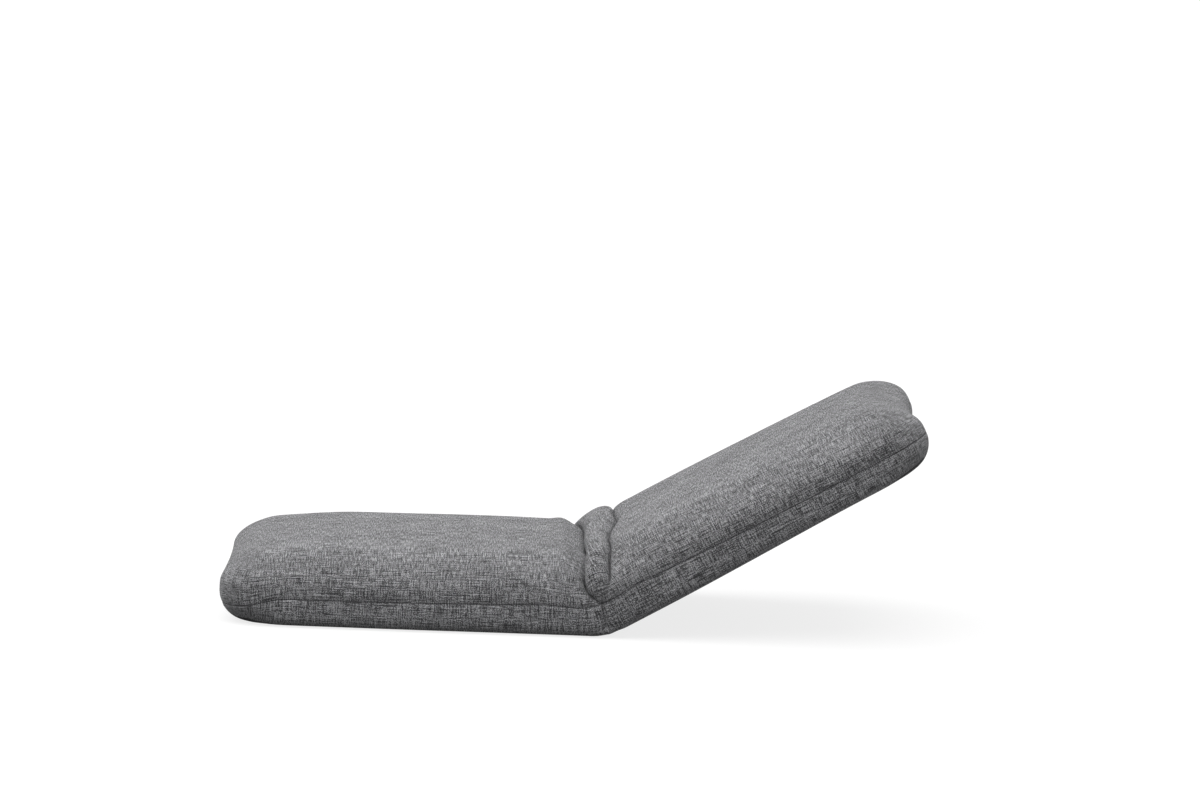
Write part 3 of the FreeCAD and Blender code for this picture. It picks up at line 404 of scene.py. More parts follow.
def rounded(sizes, spot):
    """Round the plain box: its corners in plan, then its upper and lower edges."""
    c, y, z = spot
    end = sizes.seat_length if c < 0 else sizes.back_length
    ear = sizes.ear_radius
    near_end = end - abs(c)
    near_side = sizes.half_width - abs(y)
    z = seam_path(sizes, c, z, near_end)
    a = max(0.0, ear - near_end)
    b = max(0.0, ear - near_side)
    in_corner = a > 0 and b > 0
    if in_corner:
        a, b = squared_to_round(a, b)
    inward = ear - math.hypot(a, b) if in_corner else min(near_end, near_side)

    lower = z < sizes.seam
    radius, reach = edge_rounding(sizes, c, near_end, lower)
    level = radius - sizes.floor if lower else sizes.top - radius
    u = max(0.0, radius - inward * radius / reach)
    v = max(0.0, level - z if lower else z - level)
    if u > 0 and v > 0:
        u, v = squared_to_round(u, v)
        z = level - v if lower else level + v
    moved = (radius - u) * reach / radius if u > 0 else inward

    if in_corner:
        share = (ear - moved) / (ear - inward)
        near_end = ear - a * share
        near_side = ear - b * share
    elif near_end <= near_side:
        near_end = moved
    else:
        near_side = moved
    return math.copysign(end - near_end, c), math.copysign(sizes.half_width - near_side, y), z


def padded_form(sizes, spot):
    """Crowned and drawn-in form of the cover laid flat, from a point of the plain box."""
    c, y, z = rounded(sizes, spot)
    end = sizes.seat_length if c < 0 else sizes.back_length
    near_end = end - abs(c)
    height = smooth_step(sizes.seam - 0.01, sizes.top, z)
    z -= height * sizes.crown_drop * (y / CROWN_HALF) ** 2
    if c > 0:
        z -= height * sizes.head_drop * c / sizes.back_length
        hang = smooth_step(*SAG_EASE, c) * (1 - smooth_step(*SAG_STOP, c / sizes.back_length))
        z -= (1 - smooth_step(-sizes.floor, sizes.seam, z)) * sizes.back_sag * hang
    else:
        z -= height * sizes.foot_ease * smooth_step(*FOOT_EASE, near_end)
        z += height * sizes.seat_rise * smooth_step(*RISE_EASE, near_end) * smooth_step(*RISE_STOP, c)
    across = min(1.0, abs(y) / (sizes.half_width - sizes.ear_radius))
    draw = sizes.foot_draw if c < 0 else sizes.head_draw
    c -= math.copysign(draw * (1 - across ** 2) * smooth_step(*DRAW_EASE, near_end), c)
    y *= 1 - sizes.side_draw / sizes.half_width * smooth_step(*WAIST_EASE, abs(c))
    return Vector((c, y, z))


# The gathered roll. Heights are above the hinge axis, places across run from the near side to the far one,
# waves are (height, radians to the metre, start), curls are in degrees and spots are (place along, its
# reach, height, its reach). An ease is where something starts and where it is full.
NEAR_TO_FAR = (-0.24, 0.24)
DRIFT_EASE = (0.15, 0.24)
SHALLOW_EASE = (0.08, 0.2)
FAR_SHALLOW = 0.5
FAR_GAIN = 0.5
NEAR_LOSS = 0.15
LEAN_START = 0.1
ROLL_WAIST = 0.02
ROLL_CURL = 0.008
CURL_HEIGHT = 0.041
FOOT_TUCK = 0.13
ROLL_GROWTH = 0.022
LEAST_HALF = 1e-4
WAVE_EASE = (0.03, 0.07)
MIDDLE_WAVE = (0.003, 31.0, 0.7)
WIDTH_WAVE = (0.07, 27.0, 1.3)
CREST_WAVE = (0.2, 23.0, 0.4)
SIDE_CREST = 0.002
TOP_EASE = (0.25, 0.9)
SEAT_CREASE_EASE = (0.008, 0.028)
BACK_CREASE_EASE = (0.020, 0.052)
BACK_CREASE_SHARE = 0.75
RUN_EASE = (0.02, 0.07)
LOW_RUN = 0.45
SEAT_CURL = 124
BACK_CURL_LOW = 72
BACK_CURL_HIGH = 112
RIDGE_PLACE = -0.043
RIDGE_REACH = 0.020
BAND_EASE = (0.016, 0.032)
BAND_REACH = 0.005
UNDERSIDE = -0.6
PLEAT_SPOT = (0.026, 0.013, 0.034, 0.010)
PLEAT_TILT = 0.1
WRINKLE_SPOT = (-0.004, 0.012, -0.004, 0.009)
WRINKLE_CURVE = 8.0
WRINKLE_PITCH = 0.009


def wave(shape, place):
    """Uneven hang of the cloth at one place."""
    height, rate, start = shape
    return height * math.sin(place * rate + start)


def roll_place(fold, y, z, topness):
    """Middle and half width of the gathered roll at one place."""
    above = max(0.0, z - ROLL_WAIST)
    below = min(0.0, z - ROLL_WAIST)
    far = smooth_step(*NEAR_TO_FAR, y)
    middle = fold.roll_middle + ROLL_CURL * (above / CURL_HEIGHT) ** 2 + FOOT_TUCK * below
    middle += fold.roll_lean * (far - LEAN_START) * topness
    middle -= fold.far_drift * smooth_step(*DRIFT_EASE, y)
    middle += wave(MIDDLE_WAVE, y) * smooth_step(*WAVE_EASE, z)
    grown = 1 - math.exp(-max(0.0, z - fold.roll_foot) / ROLL_GROWTH)
    half = fold.roll_half * grown * (1 + (FAR_GAIN * far - NEAR_LOSS) * topness)
    return middle, max(half, LEAST_HALF) * (1 + wave(WIDTH_WAVE, y))


def spot_share(spot, c, z):
    """1 in the middle of a spot, fading over its reach along the chair and upwards."""
    along, along_reach, up, up_reach = spot
    return math.exp(-((c - along) / along_reach) ** 2 - ((z - up) / up_reach) ** 2)


def small_folds(fold, c, z):
    """Pleats at the foot of the roll and wrinkles beside the lower crease."""
    pleats = math.sin((c + PLEAT_TILT * z) * math.tau / fold.pleat_pitch)
    wrinkles = math.sin((z + WRINKLE_CURVE * c * c) * math.tau / WRINKLE_PITCH)
    out = fold.pleat * spot_share(PLEAT_SPOT, c, z) * pleats
    return out + fold.wrinkle * spot_share(WRINKLE_SPOT, c, z) * wrinkles


def gathered(fold, spot, normal):
    """Flat point moved into the gathered fold: pads round into two creases with a roll between them."""
    c, y, z = spot
    topness = smooth_step(*TOP_EASE, normal.z)
    middle, half = roll_place(fold, y, z, topness)
    foot = smooth_step(*SEAT_CREASE_EASE, z)
    back_share = smooth_step(*BACK_CREASE_EASE, z)
    shallow = 1 - FAR_SHALLOW * smooth_step(*SHALLOW_EASE, y)
    depth = fold.crease_side + (fold.crease_top * shallow - fold.crease_side) * topness
    seat_depth = depth * foot
    back_depth = depth * BACK_CREASE_SHARE * back_share
    crest = (SIDE_CREST + (fold.roll_rise - SIDE_CREST) * topness) * foot * (1 + wave(CREST_WAVE, y))
    run = fold.shoulder_run * (LOW_RUN + (1 - LOW_RUN) * smooth_step(*RUN_EASE, z))
    part = (c - middle) / half
    away = (abs(c - middle) - half) / run
    out = 0.0
    if abs(part) < 1:
        back_curl = BACK_CURL_LOW + (BACK_CURL_HIGH - BACK_CURL_LOW) * back_share
        turn = math.radians(SEAT_CURL if part < 0 else back_curl)
        share = (math.cos(part * turn) - math.cos(turn)) / (1 - math.cos(turn))
        deep = seat_depth + (back_depth - seat_depth) * (part + 1) / 2
        out = (deep + crest) * share - deep
        c = middle + half * math.sin(part * turn)
    elif away < 1:
        turn = (1 - away) * math.pi / 2
        out = (seat_depth if part < 0 else back_depth) * (math.cos(turn) - 1)
        c = middle + math.copysign(half + run * (1 - math.sin(turn)), part)
    out += fold.seat_ridge * topness * math.exp(-((c - RIDGE_PLACE) / RIDGE_REACH) ** 2)
    if normal.z > UNDERSIDE:
        low = 1 - smooth_step(*BAND_EASE, z)
        out -= fold.band_crease * low * math.exp(-abs(c - middle) / BAND_REACH)
        out += small_folds(fold, c, z)
    return Vector((c, y, z)) + normal * out


def bent(sizes, spot):
    """Fold a flat point to the photographed pose."""
    height = smooth_step(-sizes.floor, sizes.seam + 0.02, spot.z)
    reach = sizes.corner_reach + (sizes.bend_reach - sizes.corner_reach) * height
    shift = sizes.floor * math.tan(REST_FOLD / 4) * (1 - height)
    share = smooth_step(-reach, reach, spot.x - shift)
    return HINGE + Matrix.Rotation(-REST_FOLD * share, 3, "Y") @ spot


# The cloth is held firmly up to the first distance from the seam, the underside or the middle of the fold,
# and not at all from the second.
SEAM_HOLD = (0.0015, 0.012)
UNDER_HOLD = (0.001, 0.015)
FOLD_HOLD = (0.08, 0.13)
FOLD_MIDDLE = 0.02
SWELL_FRAMES = 20
SMOOTHING_ROUNDS = 60
SEAM_WIDTH = 0.0022


def held_points(sizes, flat):
    """How firmly each flat point is held while the padding swells."""
    holds = []
    for spot in flat:
        seam = 1 - smooth_step(*SEAM_HOLD, abs(spot.z - sizes.seam))
        under = 1 - smooth_step(*UNDER_HOLD, spot.z + sizes.floor)
        crease = 1 - smooth_step(*FOLD_HOLD, abs(spot.x - FOLD_MIDDLE))
        holds.append(max(seam, under, crease))
    return holds


def blown_out(piece, holds, pressure):
    """Moves of each point once the cloth has been blown out."""
    scene = bpy.context.scene
    group = piece.vertex_groups.new(name="held")
    for place, hold in enumerate(holds):
        if hold > 0.01:
            group.add([place], hold, "REPLACE")
    cloth = piece.modifiers.new("swell", "CLOTH")
    settings = cloth.settings
    settings.vertex_group_mass = "held"
    settings.use_pressure = True
    settings.uniform_pressure_force = pressure
    settings.effector_weights.gravity = 0
    settings.quality = 6
    settings.bending_stiffness = 20
    cloth.collision_settings.use_collision = False
    cloth.point_cache.frame_start = 1
    cloth.point_cache.frame_end = SWELL_FRAMES
    for step in range(1, SWELL_FRAMES + 1):
        scene.frame_set(step)
    blown = piece.evaluated_get(bpy.context.evaluated_depsgraph_get()).data
    before = np.empty(len(blown.vertices) * 3)
    after = np.empty(len(blown.vertices) * 3)
    piece.data.vertices.foreach_get("co", before)
    blown.vertices.foreach_get("co", after)
    piece.modifiers.remove(cloth)
    piece.vertex_groups.remove(group)
    scene.frame_set(1)
    return (after - before).reshape(-1, 3)


def swell(piece, holds, pressure, cap):
    """Blow the padding out, never further than the cap, and even the swelling out over its neighbours."""
    moves = blown_out(piece, holds, pressure)
    far = np.linalg.norm(moves, axis=1)
    moves *= np.minimum(1.0, cap / np.maximum(far, 1e-9))[:, None]
    ends = np.array([edge.vertices[:] for edge in piece.data.edges])
    count = np.bincount(ends.ravel(), minlength=len(moves))[:, None]
    free = (1 - np.array(holds))[:, None]
    for _ in range(SMOOTHING_ROUNDS):
        total = np.zeros_like(moves)
        np.add.at(total, ends[:, 0], moves[ends[:, 1]])
        np.add.at(total, ends[:, 1], moves[ends[:, 0]])
        moves = (0.5 * moves + 0.5 * total / count) * np.where(free < 0.05, 0.0, 1.0)
    spots = np.empty(len(moves) * 3)
    piece.data.vertices.foreach_get("co", spots)
    piece.data.vertices.foreach_set("co", spots + moves.ravel())
    piece.data.update()


def draw_seam(piece, sizes, sewn):
    """Pull the cloth in along its sewn lines."""
    normals = [vert.normal.copy() for vert in piece.data.vertices]
    for vert, normal, distance in zip(piece.data.vertices, normals, sewn):
        vert.co -= normal * sizes.seam_draw * math.exp(-distance / SEAM_WIDTH)


def node_tree(name):
    """Fresh material: itself, its tree and its surface shader."""
    material = bpy.data.materials.new(name)
    material.use_nodes = True
    return material, material.node_tree, material.node_tree.nodes["Principled BSDF"]


def set_input(tree, socket, value):
    """Feed a socket from another socket, a colour or a number."""
    if isinstance(value, bpy.types.NodeSocket):
        tree.links.new(value, socket)
    elif isinstance(value, (int, float)):
        socket.default_value = value
    else:
        socket.default_value = (*value, 1.0)


def math_node(tree, operation, *values, clamp=False):
    """Math node fed by sockets or numbers."""
    node = tree.nodes.new("ShaderNodeMath")
    node.operation = operation
    node.use_clamp = clamp
    for socket, value in zip(node.inputs, values):
        set_input(tree, socket, value)
    return node.outputs[0]


def noise_node(tree, place, scale, detail=1.0):
    """Noise with its own number of grains per metre each way."""
    mapping = tree.nodes.new("ShaderNodeMapping")
    mapping.inputs["Scale"].default_value = scale
    tree.links.new(place, mapping.inputs["Vector"])
    grain = tree.nodes.new("ShaderNodeTexNoise")
    grain.inputs["Scale"].default_value = 1.0
    grain.inputs["Detail"].default_value = detail
    tree.links.new(mapping.outputs[0], grain.inputs["Vector"])
    return grain.outputs["Fac"]


def ramp(tree, value, low, high, to_low=0.0, to_high=1.0):
    """Map low..high onto another range."""
    node = tree.nodes.new("ShaderNodeMapRange")
    for name, bound in (("From Min", low), ("From Max", high), ("To Min", to_low), ("To Max", to_high)):
        node.inputs[name].default_value = bound
    tree.links.new(value, node.inputs["Value"])
    return node.outputs["Result"]


def mixed(tree, share, first, second):
    """Mix two colours, each a socket or a plain colour."""
    node = tree.nodes.new("ShaderNodeMix")
    node.data_type = "RGBA"
    tree.links.new(share, node.inputs["Factor"])
    set_input(tree, node.inputs[6], first)
    set_input(tree, node.inputs[7], second)
    return node.outputs[2]


def bumped(tree, shader, height, distance, strength):
    """Feed a height to the shader's normal."""
    bump = tree.nodes.new("ShaderNodeBump")
    bump.inputs["Distance"].default_value = distance
    bump.inputs["Strength"].default_value = strength
    tree.links.new(height, bump.inputs["Height"])
    tree.links.new(bump.outputs["Normal"], shader.inputs["Normal"])


def ridges(tree, place, axis, rate):
    """Waves from -1 to 1 across one direction, at so many radians to the metre."""
    split = tree.nodes.new("ShaderNodeSeparateXYZ")
    tree.links.new(place, split.inputs[0])
    return math_node(tree, "SINE", math_node(tree, "MULTIPLY", split.outputs[axis], rate))


def object_place(tree):
    """The object's own coordinates, in metres."""
    return tree.nodes.new("ShaderNodeTexCoord").outputs["Object"]


def effect_group(name, inputs, outputs):
    """Fresh node group for an effect that several materials share: itself, its inputs and its outputs."""
    group = bpy.data.node_groups.new(name, "ShaderNodeTree")
    for socket, kind in inputs.items():
        group.interface.new_socket(name=socket, in_out="INPUT", socket_type="NodeSocket" + kind)
    for socket, kind in outputs.items():
        group.interface.new_socket(name=socket, in_out="OUTPUT", socket_type="NodeSocket" + kind)
    return group, group.nodes.new("NodeGroupInput").outputs, group.nodes.new("NodeGroupOutput").inputs


def effect(tree, build, **values):
    """Place an effect in a material with its own values: the outputs of its node."""
    node = tree.nodes.new("ShaderNodeGroup")
    node.node_tree = bpy.data.node_groups.get(build.__name__) or build()
    for name, value in values.items():
        set_input(tree, node.inputs[name.title()], value)
    return node.outputs


def melange_weave():
    """Woven melange cloth: a plain weave of flecked yarns with slubs along the length."""
    group, given, put = effect_group(
        "melange_weave", {"Place": "Vector", "Light": "Color", "Dark": "Color"},
        {"Color": "Color", "Height": "Float"})
    place = given["Place"]
    pitch = 1.0 / look("cloth").yarn
    warp = noise_node(group, place, (60.0, pitch * 0.8, 1.0), 2.0)
    weft = noise_node(group, place, (pitch * 0.75, 48.0, 1.0), 2.0)
    fleck = noise_node(group, place, (pitch * 0.7, pitch * 0.8, 1.0), 1.0)
    slub = noise_node(group, place, (22.0, pitch * 0.58, 1.0), 1.0)
    broad = noise_node(group, place, (9.0, 14.0, 1.0), 2.0)
    shade = 0.23
    for yarn, weight in ((warp, 1.05), (weft, 1.55), (fleck, 2.1), (broad, 0.3)):
        shade = math_node(group, "ADD", math_node(group, "MULTIPLY_ADD", yarn, weight, -weight / 2), shade)
    dark_slub = ramp(group, slub, 0.58, 0.70)
    pale_slub = ramp(group, slub, 0.38, 0.28)
    shade = math_node(group, "MULTIPLY_ADD", dark_slub, -0.45, shade)
    shade = math_node(group, "MULTIPLY_ADD", pale_slub, 0.30, shade, clamp=True)
    group.links.new(mixed(group, shade, given["Dark"], given["Light"]), put["Color"])
    crossing = math_node(
        group, "MULTIPLY", ridges(group, place, 0, math.pi * pitch), ridges(group, place, 1, math.pi * pitch))
    height = math_node(group, "MULTIPLY_ADD", crossing, 0.25, shade)
    group.links.new(math_node(group, "MULTIPLY_ADD", dark_slub, 0.4, height), put["Height"])
    return group


def rib_weave():
    """Narrow woven band: ribs along it, crossed by finer yarns."""
    group, given, put = effect_group(
        "rib_weave",
        {"Place": "Vector", "Ribs": "Float", "Picks": "Float", "Light": "Color", "Dark": "Color"},
        {"Color": "Color", "Height": "Float"})
    place = given["Place"]
    rib = ridges(group, place, 0, math_node(group, "MULTIPLY", given["Ribs"], math.tau))
    pick = ridges(group, place, 1, math_node(group, "MULTIPLY", given["Picks"], math.tau))
    fuzz = noise_node(group, place, (1200.0, 400.0, 1200.0), 2.0)
    weave = math_node(group, "MULTIPLY_ADD", rib, 0.25, math_node(group, "MULTIPLY_ADD", pick, 0.2, fuzz))
    group.links.new(mixed(group, ramp(group, weave, 0.1, 0.9), given["Dark"], given["Light"]), put["Color"])
    group.links.new(weave, put["Height"])
    return group


def worn_surface():
    """Mottled tone and fine drawn scratches."""
    group, given, put = effect_group(
        "worn_surface", {"Place": "Vector", "Light": "Color", "Dark": "Color"},
        {"Color": "Color", "Mask": "Float", "Scratch": "Float"})
    mottle = noise_node(group, given["Place"], (160.0, 160.0, 160.0), 3.0)
    mask = ramp(group, mottle, 0.35, 0.65)
    group.links.new(mixed(group, mask, given["Dark"], given["Light"]), put["Color"])
    group.links.new(mask, put["Mask"])
    group.links.new(noise_node(group, given["Place"], (60.0, 2600.0, 2600.0), 1.0), put["Scratch"])
    return group


def cover_cloth(name, light, dark):
    """Melange upholstery cloth, with painted shade darkening its sewn lines, read from the cover's own
    attribute.
    """
    material, tree, shader = node_tree(name)
    place = tree.nodes.new("ShaderNodeUVMap")
    place.uv_map = "cloth"
    weave = effect(tree, melange_weave, place=place.outputs["UV"], light=light, dark=dark)
    sewn = tree.nodes.new("ShaderNodeAttribute")
    sewn.attribute_name = "sewn"
    # Painted shade: the cloth is mixed towards near black along the seam and the band's join, standing for
    # the shade in their grooves.
    painted_seam_shade = ramp(tree, sewn.outputs["Fac"], 0.0013, 0.0006, 0.0, 0.7)
    dip = ramp(tree, sewn.outputs["Fac"], 0.0, 0.004, 0.0, 1.5)
    tree.links.new(mixed(tree, painted_seam_shade, weave["Color"], (0.012, 0.012, 0.013)), shader.inputs["Base Color"])
    bumped(tree, shader, math_node(tree, "ADD", weave["Height"], dip), 0.0007, 0.8)
    shader.inputs["Roughness"].default_value = 0.94
    shader.inputs["Specular IOR Level"].default_value = 0.18
    shader.inputs["Sheen Weight"].default_value = 0.12
    shader.inputs["Sheen Roughness"].default_value = 0.6
    return material


def powder_coat():
    """Black powder coat with its fine orange peel."""
    material, tree, shader = node_tree("black_powder_coat")
    worn = effect(
        tree, worn_surface, place=object_place(tree), light=(0.030, 0.029, 0.028), dark=(0.014, 0.014, 0.015))
    peel = noise_node(tree, object_place(tree), (900.0, 900.0, 900.0), 2.0)
    tree.links.new(worn["Color"], shader.inputs["Base Color"])
    tree.links.new(ramp(tree, worn["Mask"], 0.0, 1.0, 0.42, 0.60), shader.inputs["Roughness"])
    bumped(tree, shader, peel, 0.0002, 0.5)
    return material


def plated_steel(name, light, dark, rough):
    """Plated steel, with a mottled tone and drawn scratches."""
    material, tree, shader = node_tree(name)
    worn = effect(tree, worn_surface, place=object_place(tree), light=light, dark=dark)
    tree.links.new(worn["Color"], shader.inputs["Base Color"])
    tree.links.new(ramp(tree, worn["Mask"], 0.0, 1.0, rough - 0.07, rough + 0.09), shader.inputs["Roughness"])
    shader.inputs["Metallic"].default_value = 1.0
    bumped(tree, shader, worn["Scratch"], 0.00005, 0.35)
    return material


def woven_band(name, light, dark, ribs, picks):
    """Woven band or thread, with so many ribs and cross yarns to the metre."""
    material, tree, shader = node_tree(name)
    weave = effect(tree, rib_weave, place=object_place(tree), ribs=ribs, picks=picks, light=light, dark=dark)
    tree.links.new(weave["Color"], shader.inputs["Base Color"])
    shader.inputs["Roughness"].default_value = 0.85
    shader.inputs["Sheen Weight"].default_value = 0.1
    bumped(tree, shader, weave["Height"], 0.0003, 0.7)
    return material


def moulded_nylon(name, light, dark):
    """Slightly glossy nylon with a soft mottle."""
    material, tree, shader = node_tree(name)
    worn = effect(tree, worn_surface, place=object_place(tree), light=light, dark=dark)
    tree.links.new(worn["Color"], shader.inputs["Base Color"])
    tree.links.new(ramp(tree, worn["Mask"], 0.0, 1.0, 0.34, 0.5), shader.inputs["Roughness"])
    bumped(tree, shader, worn["Mask"], 0.00005, 0.4)
    return material


def seen_ray(tree):
    """1 for what the camera sees straight, in a mirror or through glass."""
    path = tree.nodes.new("ShaderNodeLightPath")
    mirror = math_node(tree, "MAXIMUM", path.outputs["Is Glossy Ray"], path.outputs["Is Transmission Ray"])
    return math_node(tree, "MAXIMUM", path.outputs["Is Camera Ray"], mirror)


def floor_material(stage):
    """Pale floor that shows white to the camera and keeps the chair's shadow."""
    material, tree, shader = node_tree("studio_floor")
    set_input(tree, shader.inputs["Base Color"], stage.floor_paint)
    shader.inputs["Roughness"].default_value = 0.9
    shader.inputs["Specular IOR Level"].default_value = 0.0
    shader.inputs["Emission Color"].default_value = (1, 1, 1, 1)
    glow = math_node(tree, "MULTIPLY", seen_ray(tree), stage.floor_glow)
    tree.links.new(glow, shader.inputs["Emission Strength"])
    return material


class CHAIR_OT_cover(bpy.types.Operator):
    """Build the padded woven cover with its gathered fold and its seam"""

    bl_idname = "floor_chair.cover"
    bl_label = "Padded cover"

    def execute(self, context):
        sizes = look("cover")
        fold = look("fold")
        cloth = look("cloth")
        bm = bmesh.new()
        lattice(bm, cover_lines(sizes))
        lay_cloth(sizes, bm)
        sink_well(sizes, bm)
        sewn = [sewn_distance(sizes, vert.co) for vert in bm.verts]
        for vert in bm.verts:
            vert.co = padded_form(sizes, vert.co)
        bm.normal_update()
        flat = [vert.co.copy() for vert in bm.verts]
        shaped = [bent(sizes, gathered(fold, vert.co, vert.normal)) for vert in bm.verts]
        for vert, spot in zip(bm.verts, shaped):
            vert.co = spot
        cover = new_piece(
            "upholstery_cover", bm, cover_cloth("melange_cover", cloth.light_yarn, cloth.dark_yarn),
            cover_cloth("underside_cloth", cloth.under_light, cloth.under_dark))
        swell(cover, held_points(sizes, flat), sizes.pressure, sizes.swell_cap)
        draw_seam(cover, sizes, sewn)
        mark = cover.data.attributes.new("sewn", "FLOAT", "POINT")
        mark.data.foreach_set("value", sewn)
        finish = cover.modifiers.new("smooth", "SUBSURF")
        finish.levels = 1
        finish.render_levels = 1
        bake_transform(cover)
        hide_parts(*SOFT_NODES)
        return {"FINISHED"}


def repeated(bm, shape, places):
    """Copy a small shape to each place, then drop the first one."""
    for place in places:
        copied = bmesh.ops.duplicate(bm, geom=shape)["geom"]
        verts = [item for item in copied if isinstance(item, bmesh.types.BMVert)]
        bmesh.ops.transform(bm, matrix=place, verts=verts)
    first = [item for item in shape if isinstance(item, bmesh.types.BMVert)]
    bmesh.ops.delete(bm, geom=first, context="VERTS")


def soft_block(bm, size, rounding):
    """Small block with rounded edges, as a list of its parts."""
    bmesh.ops.create_cube(bm, size=1.0, matrix=Matrix.Diagonal((*size, 1.0)))
    bmesh.ops.bevel(
        bm, geom=bm.edges[:], offset=rounding, offset_type="OFFSET", segments=1, profile=0.5, affect="EDGES",
        material=-1)
    return bm.verts[:] + bm.edges[:] + bm.faces[:]


class CHAIR_OT_zip(bpy.types.Operator):
    """Build the zip's interlocked teeth and the stitches round its well"""

    bl_idname = "floor_chair.zip"
    bl_label = "Zip"

    def execute(self, context):
        sizes = look("zip")
        teeth = self.teeth(sizes)
        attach(teeth, "backrest")
        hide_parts("zip_coil")
        stitches = self.stitches(sizes)
        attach(stitches, "backrest")
        return {"FINISHED"}

    def teeth(self, sizes):
        """Two rows of teeth that meet in the middle, half a pitch apart."""
        low, high = COIL
        middle = (low + high) / 2
        wide = (high.x - low.x) * 0.56
        bm = bmesh.new()
        tooth = soft_block(bm, (wide, sizes.tooth_wide, high.z - low.z), sizes.tooth_wide * 0.3)
        places = []
        count = int((high.y - low.y) / sizes.tooth_pitch)
        for row, side in enumerate((-1, 1)):
            across = middle.x + side * (high.x - low.x - wide) / 2
            for step in range(count):
                y = low.y + sizes.tooth_wide + (step + row / 2) * sizes.tooth_pitch
                places.append(Matrix.Translation((across, y, middle.z)))
        repeated(bm, tooth, places)
        bmesh.ops.transform(bm, matrix=BACK_TURN, verts=bm.verts)
        nylon = moulded_nylon("zip_nylon", (0.050, 0.050, 0.053), (0.028, 0.028, 0.030))
        return new_piece("zip_teeth", bm, nylon)

    def stitches(self, sizes):
        """A row of stitches along each long edge of the well and a bar across each end."""
        start, end, half = well_box()
        under = -look("cover").floor
        bm = bmesh.new()
        thick = sizes.stitch_thick
        stitch = soft_block(bm, (thick, sizes.stitch_long, thick), thick * 0.3)
        places = []
        count = int(2 * half / sizes.stitch_pitch)
        for across in (start - sizes.stitch_inset, end + sizes.stitch_inset):
            for step in range(count + 1):
                y = (step - count / 2) * sizes.stitch_pitch
                places.append(Matrix.Translation((across, y, under)))
        turned = Matrix.Rotation(math.pi / 2, 4, "Z")
        for side in (-1, 1):
            for step in range(int((end - start) / sizes.stitch_pitch) + 1):
                spot = (start + step * sizes.stitch_pitch, side * (half + sizes.stitch_inset), under)
                places.append(Matrix.Translation(spot) @ turned)
        repeated(bm, stitch, places)
        bmesh.ops.transform(bm, matrix=BACK_TURN, verts=bm.verts)
        thread = woven_band("stitch_thread", (0.16, 0.16, 0.165), (0.06, 0.06, 0.062), 1600.0, 2000.0)
        return new_piece("zip_stitches", bm, thread)


class CHAIR_OT_springs(bpy.types.Operator):
    """Build the leaf springs under the pawls, as slightly bowed strips"""

    bl_idname = "floor_chair.springs"
    bl_label = "Pawl springs"

    def execute(self, context):
        sizes = look("spring")
        steel = plated_steel("spring_steel", (0.42, 0.42, 0.43), (0.30, 0.30, 0.31), 0.30)
        for side in ("right", "left"):
            low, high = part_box(side + "_pawl_spring")
            leaf = self.leaf(side, sizes, low, high, steel)
            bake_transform(leaf)
            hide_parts(side + "_pawl_spring")
        return {"FINISHED"}

    def leaf(self, side, sizes, low, high, steel):
        """Thin strip from its root in the clevis to its tapered tip under the pawl, slightly bowed."""
        bm = bmesh.new()
        bmesh.ops.create_grid(bm, x_segments=16, y_segments=4, size=0.5)
        for vert in bm.verts:
            along = vert.co.x + 0.5
            wide = (high.y - low.y) * (1 - sizes.taper * along ** 2)
            bow = sizes.bow * math.sin(along * math.pi)
            vert.co = Vector((
                low.x + (high.x - low.x) * along - bow, (low.y + high.y) / 2 + vert.co.y * wide,
                high.z - sizes.thick + (low.z + sizes.thick - high.z) * along - bow))
        bmesh.ops.solidify(bm, geom=bm.faces[:], thickness=sizes.thick)
        bmesh.ops.recalc_face_normals(bm, faces=bm.faces)
        return new_piece(side + "_spring_leaf", bm, steel)


class CHAIR_OT_finishes(bpy.types.Operator):
    """Give the frame, the hinges, the webbing and the zip their finishes"""

    bl_idname = "floor_chair.finishes"
    bl_label = "Steel, webbing and zip finishes"

    def execute(self, context):
        finishes = {
            "frame_steel": powder_coat(),
            "hinge_steel": plated_steel("zinc_plate", (0.62, 0.62, 0.60), (0.48, 0.48, 0.47), 0.36),
            "rivet_steel": plated_steel("bright_steel", (0.66, 0.65, 0.63), (0.55, 0.54, 0.53), 0.26),
            "webbing": woven_band(
                "elastic_webbing", (0.06, 0.06, 0.062), (0.012, 0.012, 0.013), 250.0, 620.0),
            "zip_tape": woven_band(
                "zip_tape_weave", (0.07, 0.07, 0.073), (0.022, 0.022, 0.024), 550.0, 700.0),
            "zip_metal": plated_steel("black_nickel", (0.20, 0.20, 0.205), (0.11, 0.11, 0.115), 0.30),
        }
        for node in frame["nodes"].values():
            for place in node.material_slots:
                place.material = finishes.get(place.material.name, place.material)
        return {"FINISHED"}


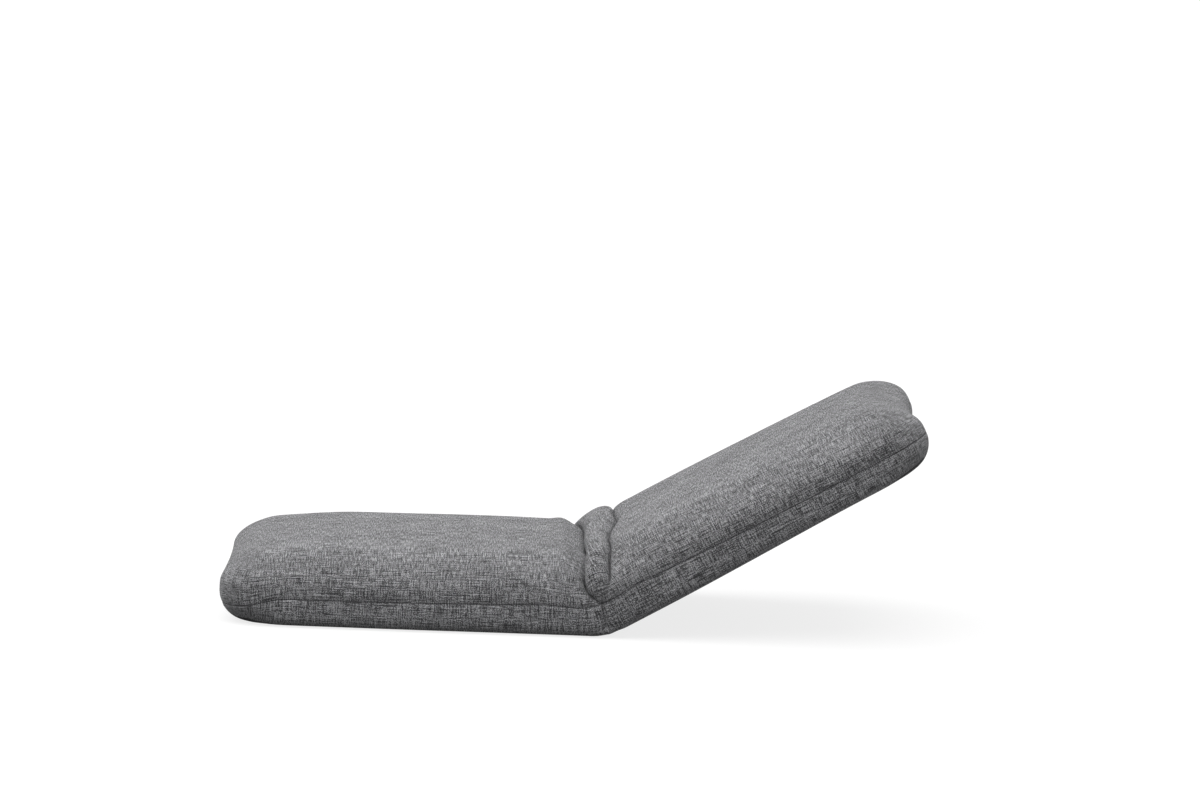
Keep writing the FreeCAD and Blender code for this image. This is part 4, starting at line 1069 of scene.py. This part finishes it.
class CHAIR_OT_stage(bpy.types.Operator):
    """Set the floor, the lamp, the world and the camera"""

    bl_idname = "floor_chair.stage"
    bl_label = "Studio stage"

    def execute(self, context):
        scene = context.scene
        stage = look("stage")
        scene.view_settings.view_transform = "Standard"
        bm = bmesh.new()
        below = Matrix.Translation((0, 0, -0.001))
        bmesh.ops.create_grid(bm, x_segments=1, y_segments=1, size=30.0, matrix=below)
        new_piece("studio_floor", bm, floor_material(stage))
        self.light(scene, stage)
        self.view(scene, stage)
        return {"FINISHED"}

    def light(self, scene, stage):
        """Broad lamp overhead, some light from all round, white behind the chair."""
        world = bpy.data.worlds.new("studio")
        world.use_nodes = True
        tree = world.node_tree
        glow = math_node(tree, "MULTIPLY_ADD", seen_ray(tree), 1.0 - stage.ambient, stage.ambient)
        tree.links.new(glow, tree.nodes["Background"].inputs["Strength"])
        tree.nodes["Background"].inputs["Color"].default_value = (1, 1, 1, 1)
        scene.world = world
        self.lamp(scene, "broad_lamp", stage.sun, stage.sun_from, stage.sun_spread)
        self.lamp(scene, "fill_lamp", stage.fill, stage.fill_from, stage.sun_spread)

    def lamp(self, scene, name, energy, shines_from, wide):
        """Far lamp that looks very wide, so its shadows are soft."""
        light = bpy.data.lights.new(name, "SUN")
        light.angle = wide
        light.energy = energy
        piece = bpy.data.objects.new(name, light)
        piece.matrix_world = Vector(shines_from).to_track_quat("Z", "Y").to_matrix().to_4x4()
        scene.collection.objects.link(piece)

    def view(self, scene, stage):
        """Camera at the photographed angle."""
        lens = bpy.data.cameras.new("photo_camera")
        lens.lens = stage.lens
        camera = bpy.data.objects.new("photo_camera", lens)
        scene.collection.objects.link(camera)
        level = math.cos(stage.elevation)
        out = Vector((
            math.sin(stage.azimuth) * level, -math.cos(stage.azimuth) * level, math.sin(stage.elevation)))
        facing = out.to_track_quat("Z", "Y").to_matrix().to_4x4() @ Matrix.Rotation(stage.roll, 4, "Z")
        camera.matrix_world = Matrix.Translation(Vector(stage.aim) + out * stage.distance) @ facing
        scene.camera = camera


class CHAIR_PT_panel(bpy.types.Panel):
    """Lists the chair's pieces"""

    bl_label = "Floor chair"
    bl_idname = "CHAIR_PT_panel"
    bl_space_type = "VIEW_3D"
    bl_region_type = "UI"
    bl_category = "Floor chair"

    def draw(self, context):
        for operator in OPERATORS:
            self.layout.operator(operator.bl_idname)


SETTINGS = {"cover": CoverSizes, "fold": FoldSizes, "cloth": ClothLook, "zip": ZipSizes,
            "spring": SpringSizes, "stage": StageLook}
OPERATORS = (CHAIR_OT_cover, CHAIR_OT_zip, CHAIR_OT_springs, CHAIR_OT_finishes, CHAIR_OT_stage)


def register():
    for name, kind in SETTINGS.items():
        bpy.utils.register_class(kind)
        setattr(bpy.types.Scene, "floor_chair_" + name, bpy.props.PointerProperty(type=kind))
    for kind in OPERATORS + (CHAIR_PT_panel,):
        bpy.utils.register_class(kind)


def unregister():
    for kind in (CHAIR_PT_panel,) + OPERATORS[::-1]:
        bpy.utils.unregister_class(kind)
    for name, kind in reversed(SETTINGS.items()):
        delattr(bpy.types.Scene, "floor_chair_" + name)
        bpy.utils.unregister_class(kind)


def main():
    register()
    bpy.ops.floor_chair.cover()
    bpy.ops.floor_chair.zip()
    bpy.ops.floor_chair.springs()
    bpy.ops.floor_chair.finishes()
    bpy.ops.floor_chair.stage()


if __name__ == "__main__":
    main()
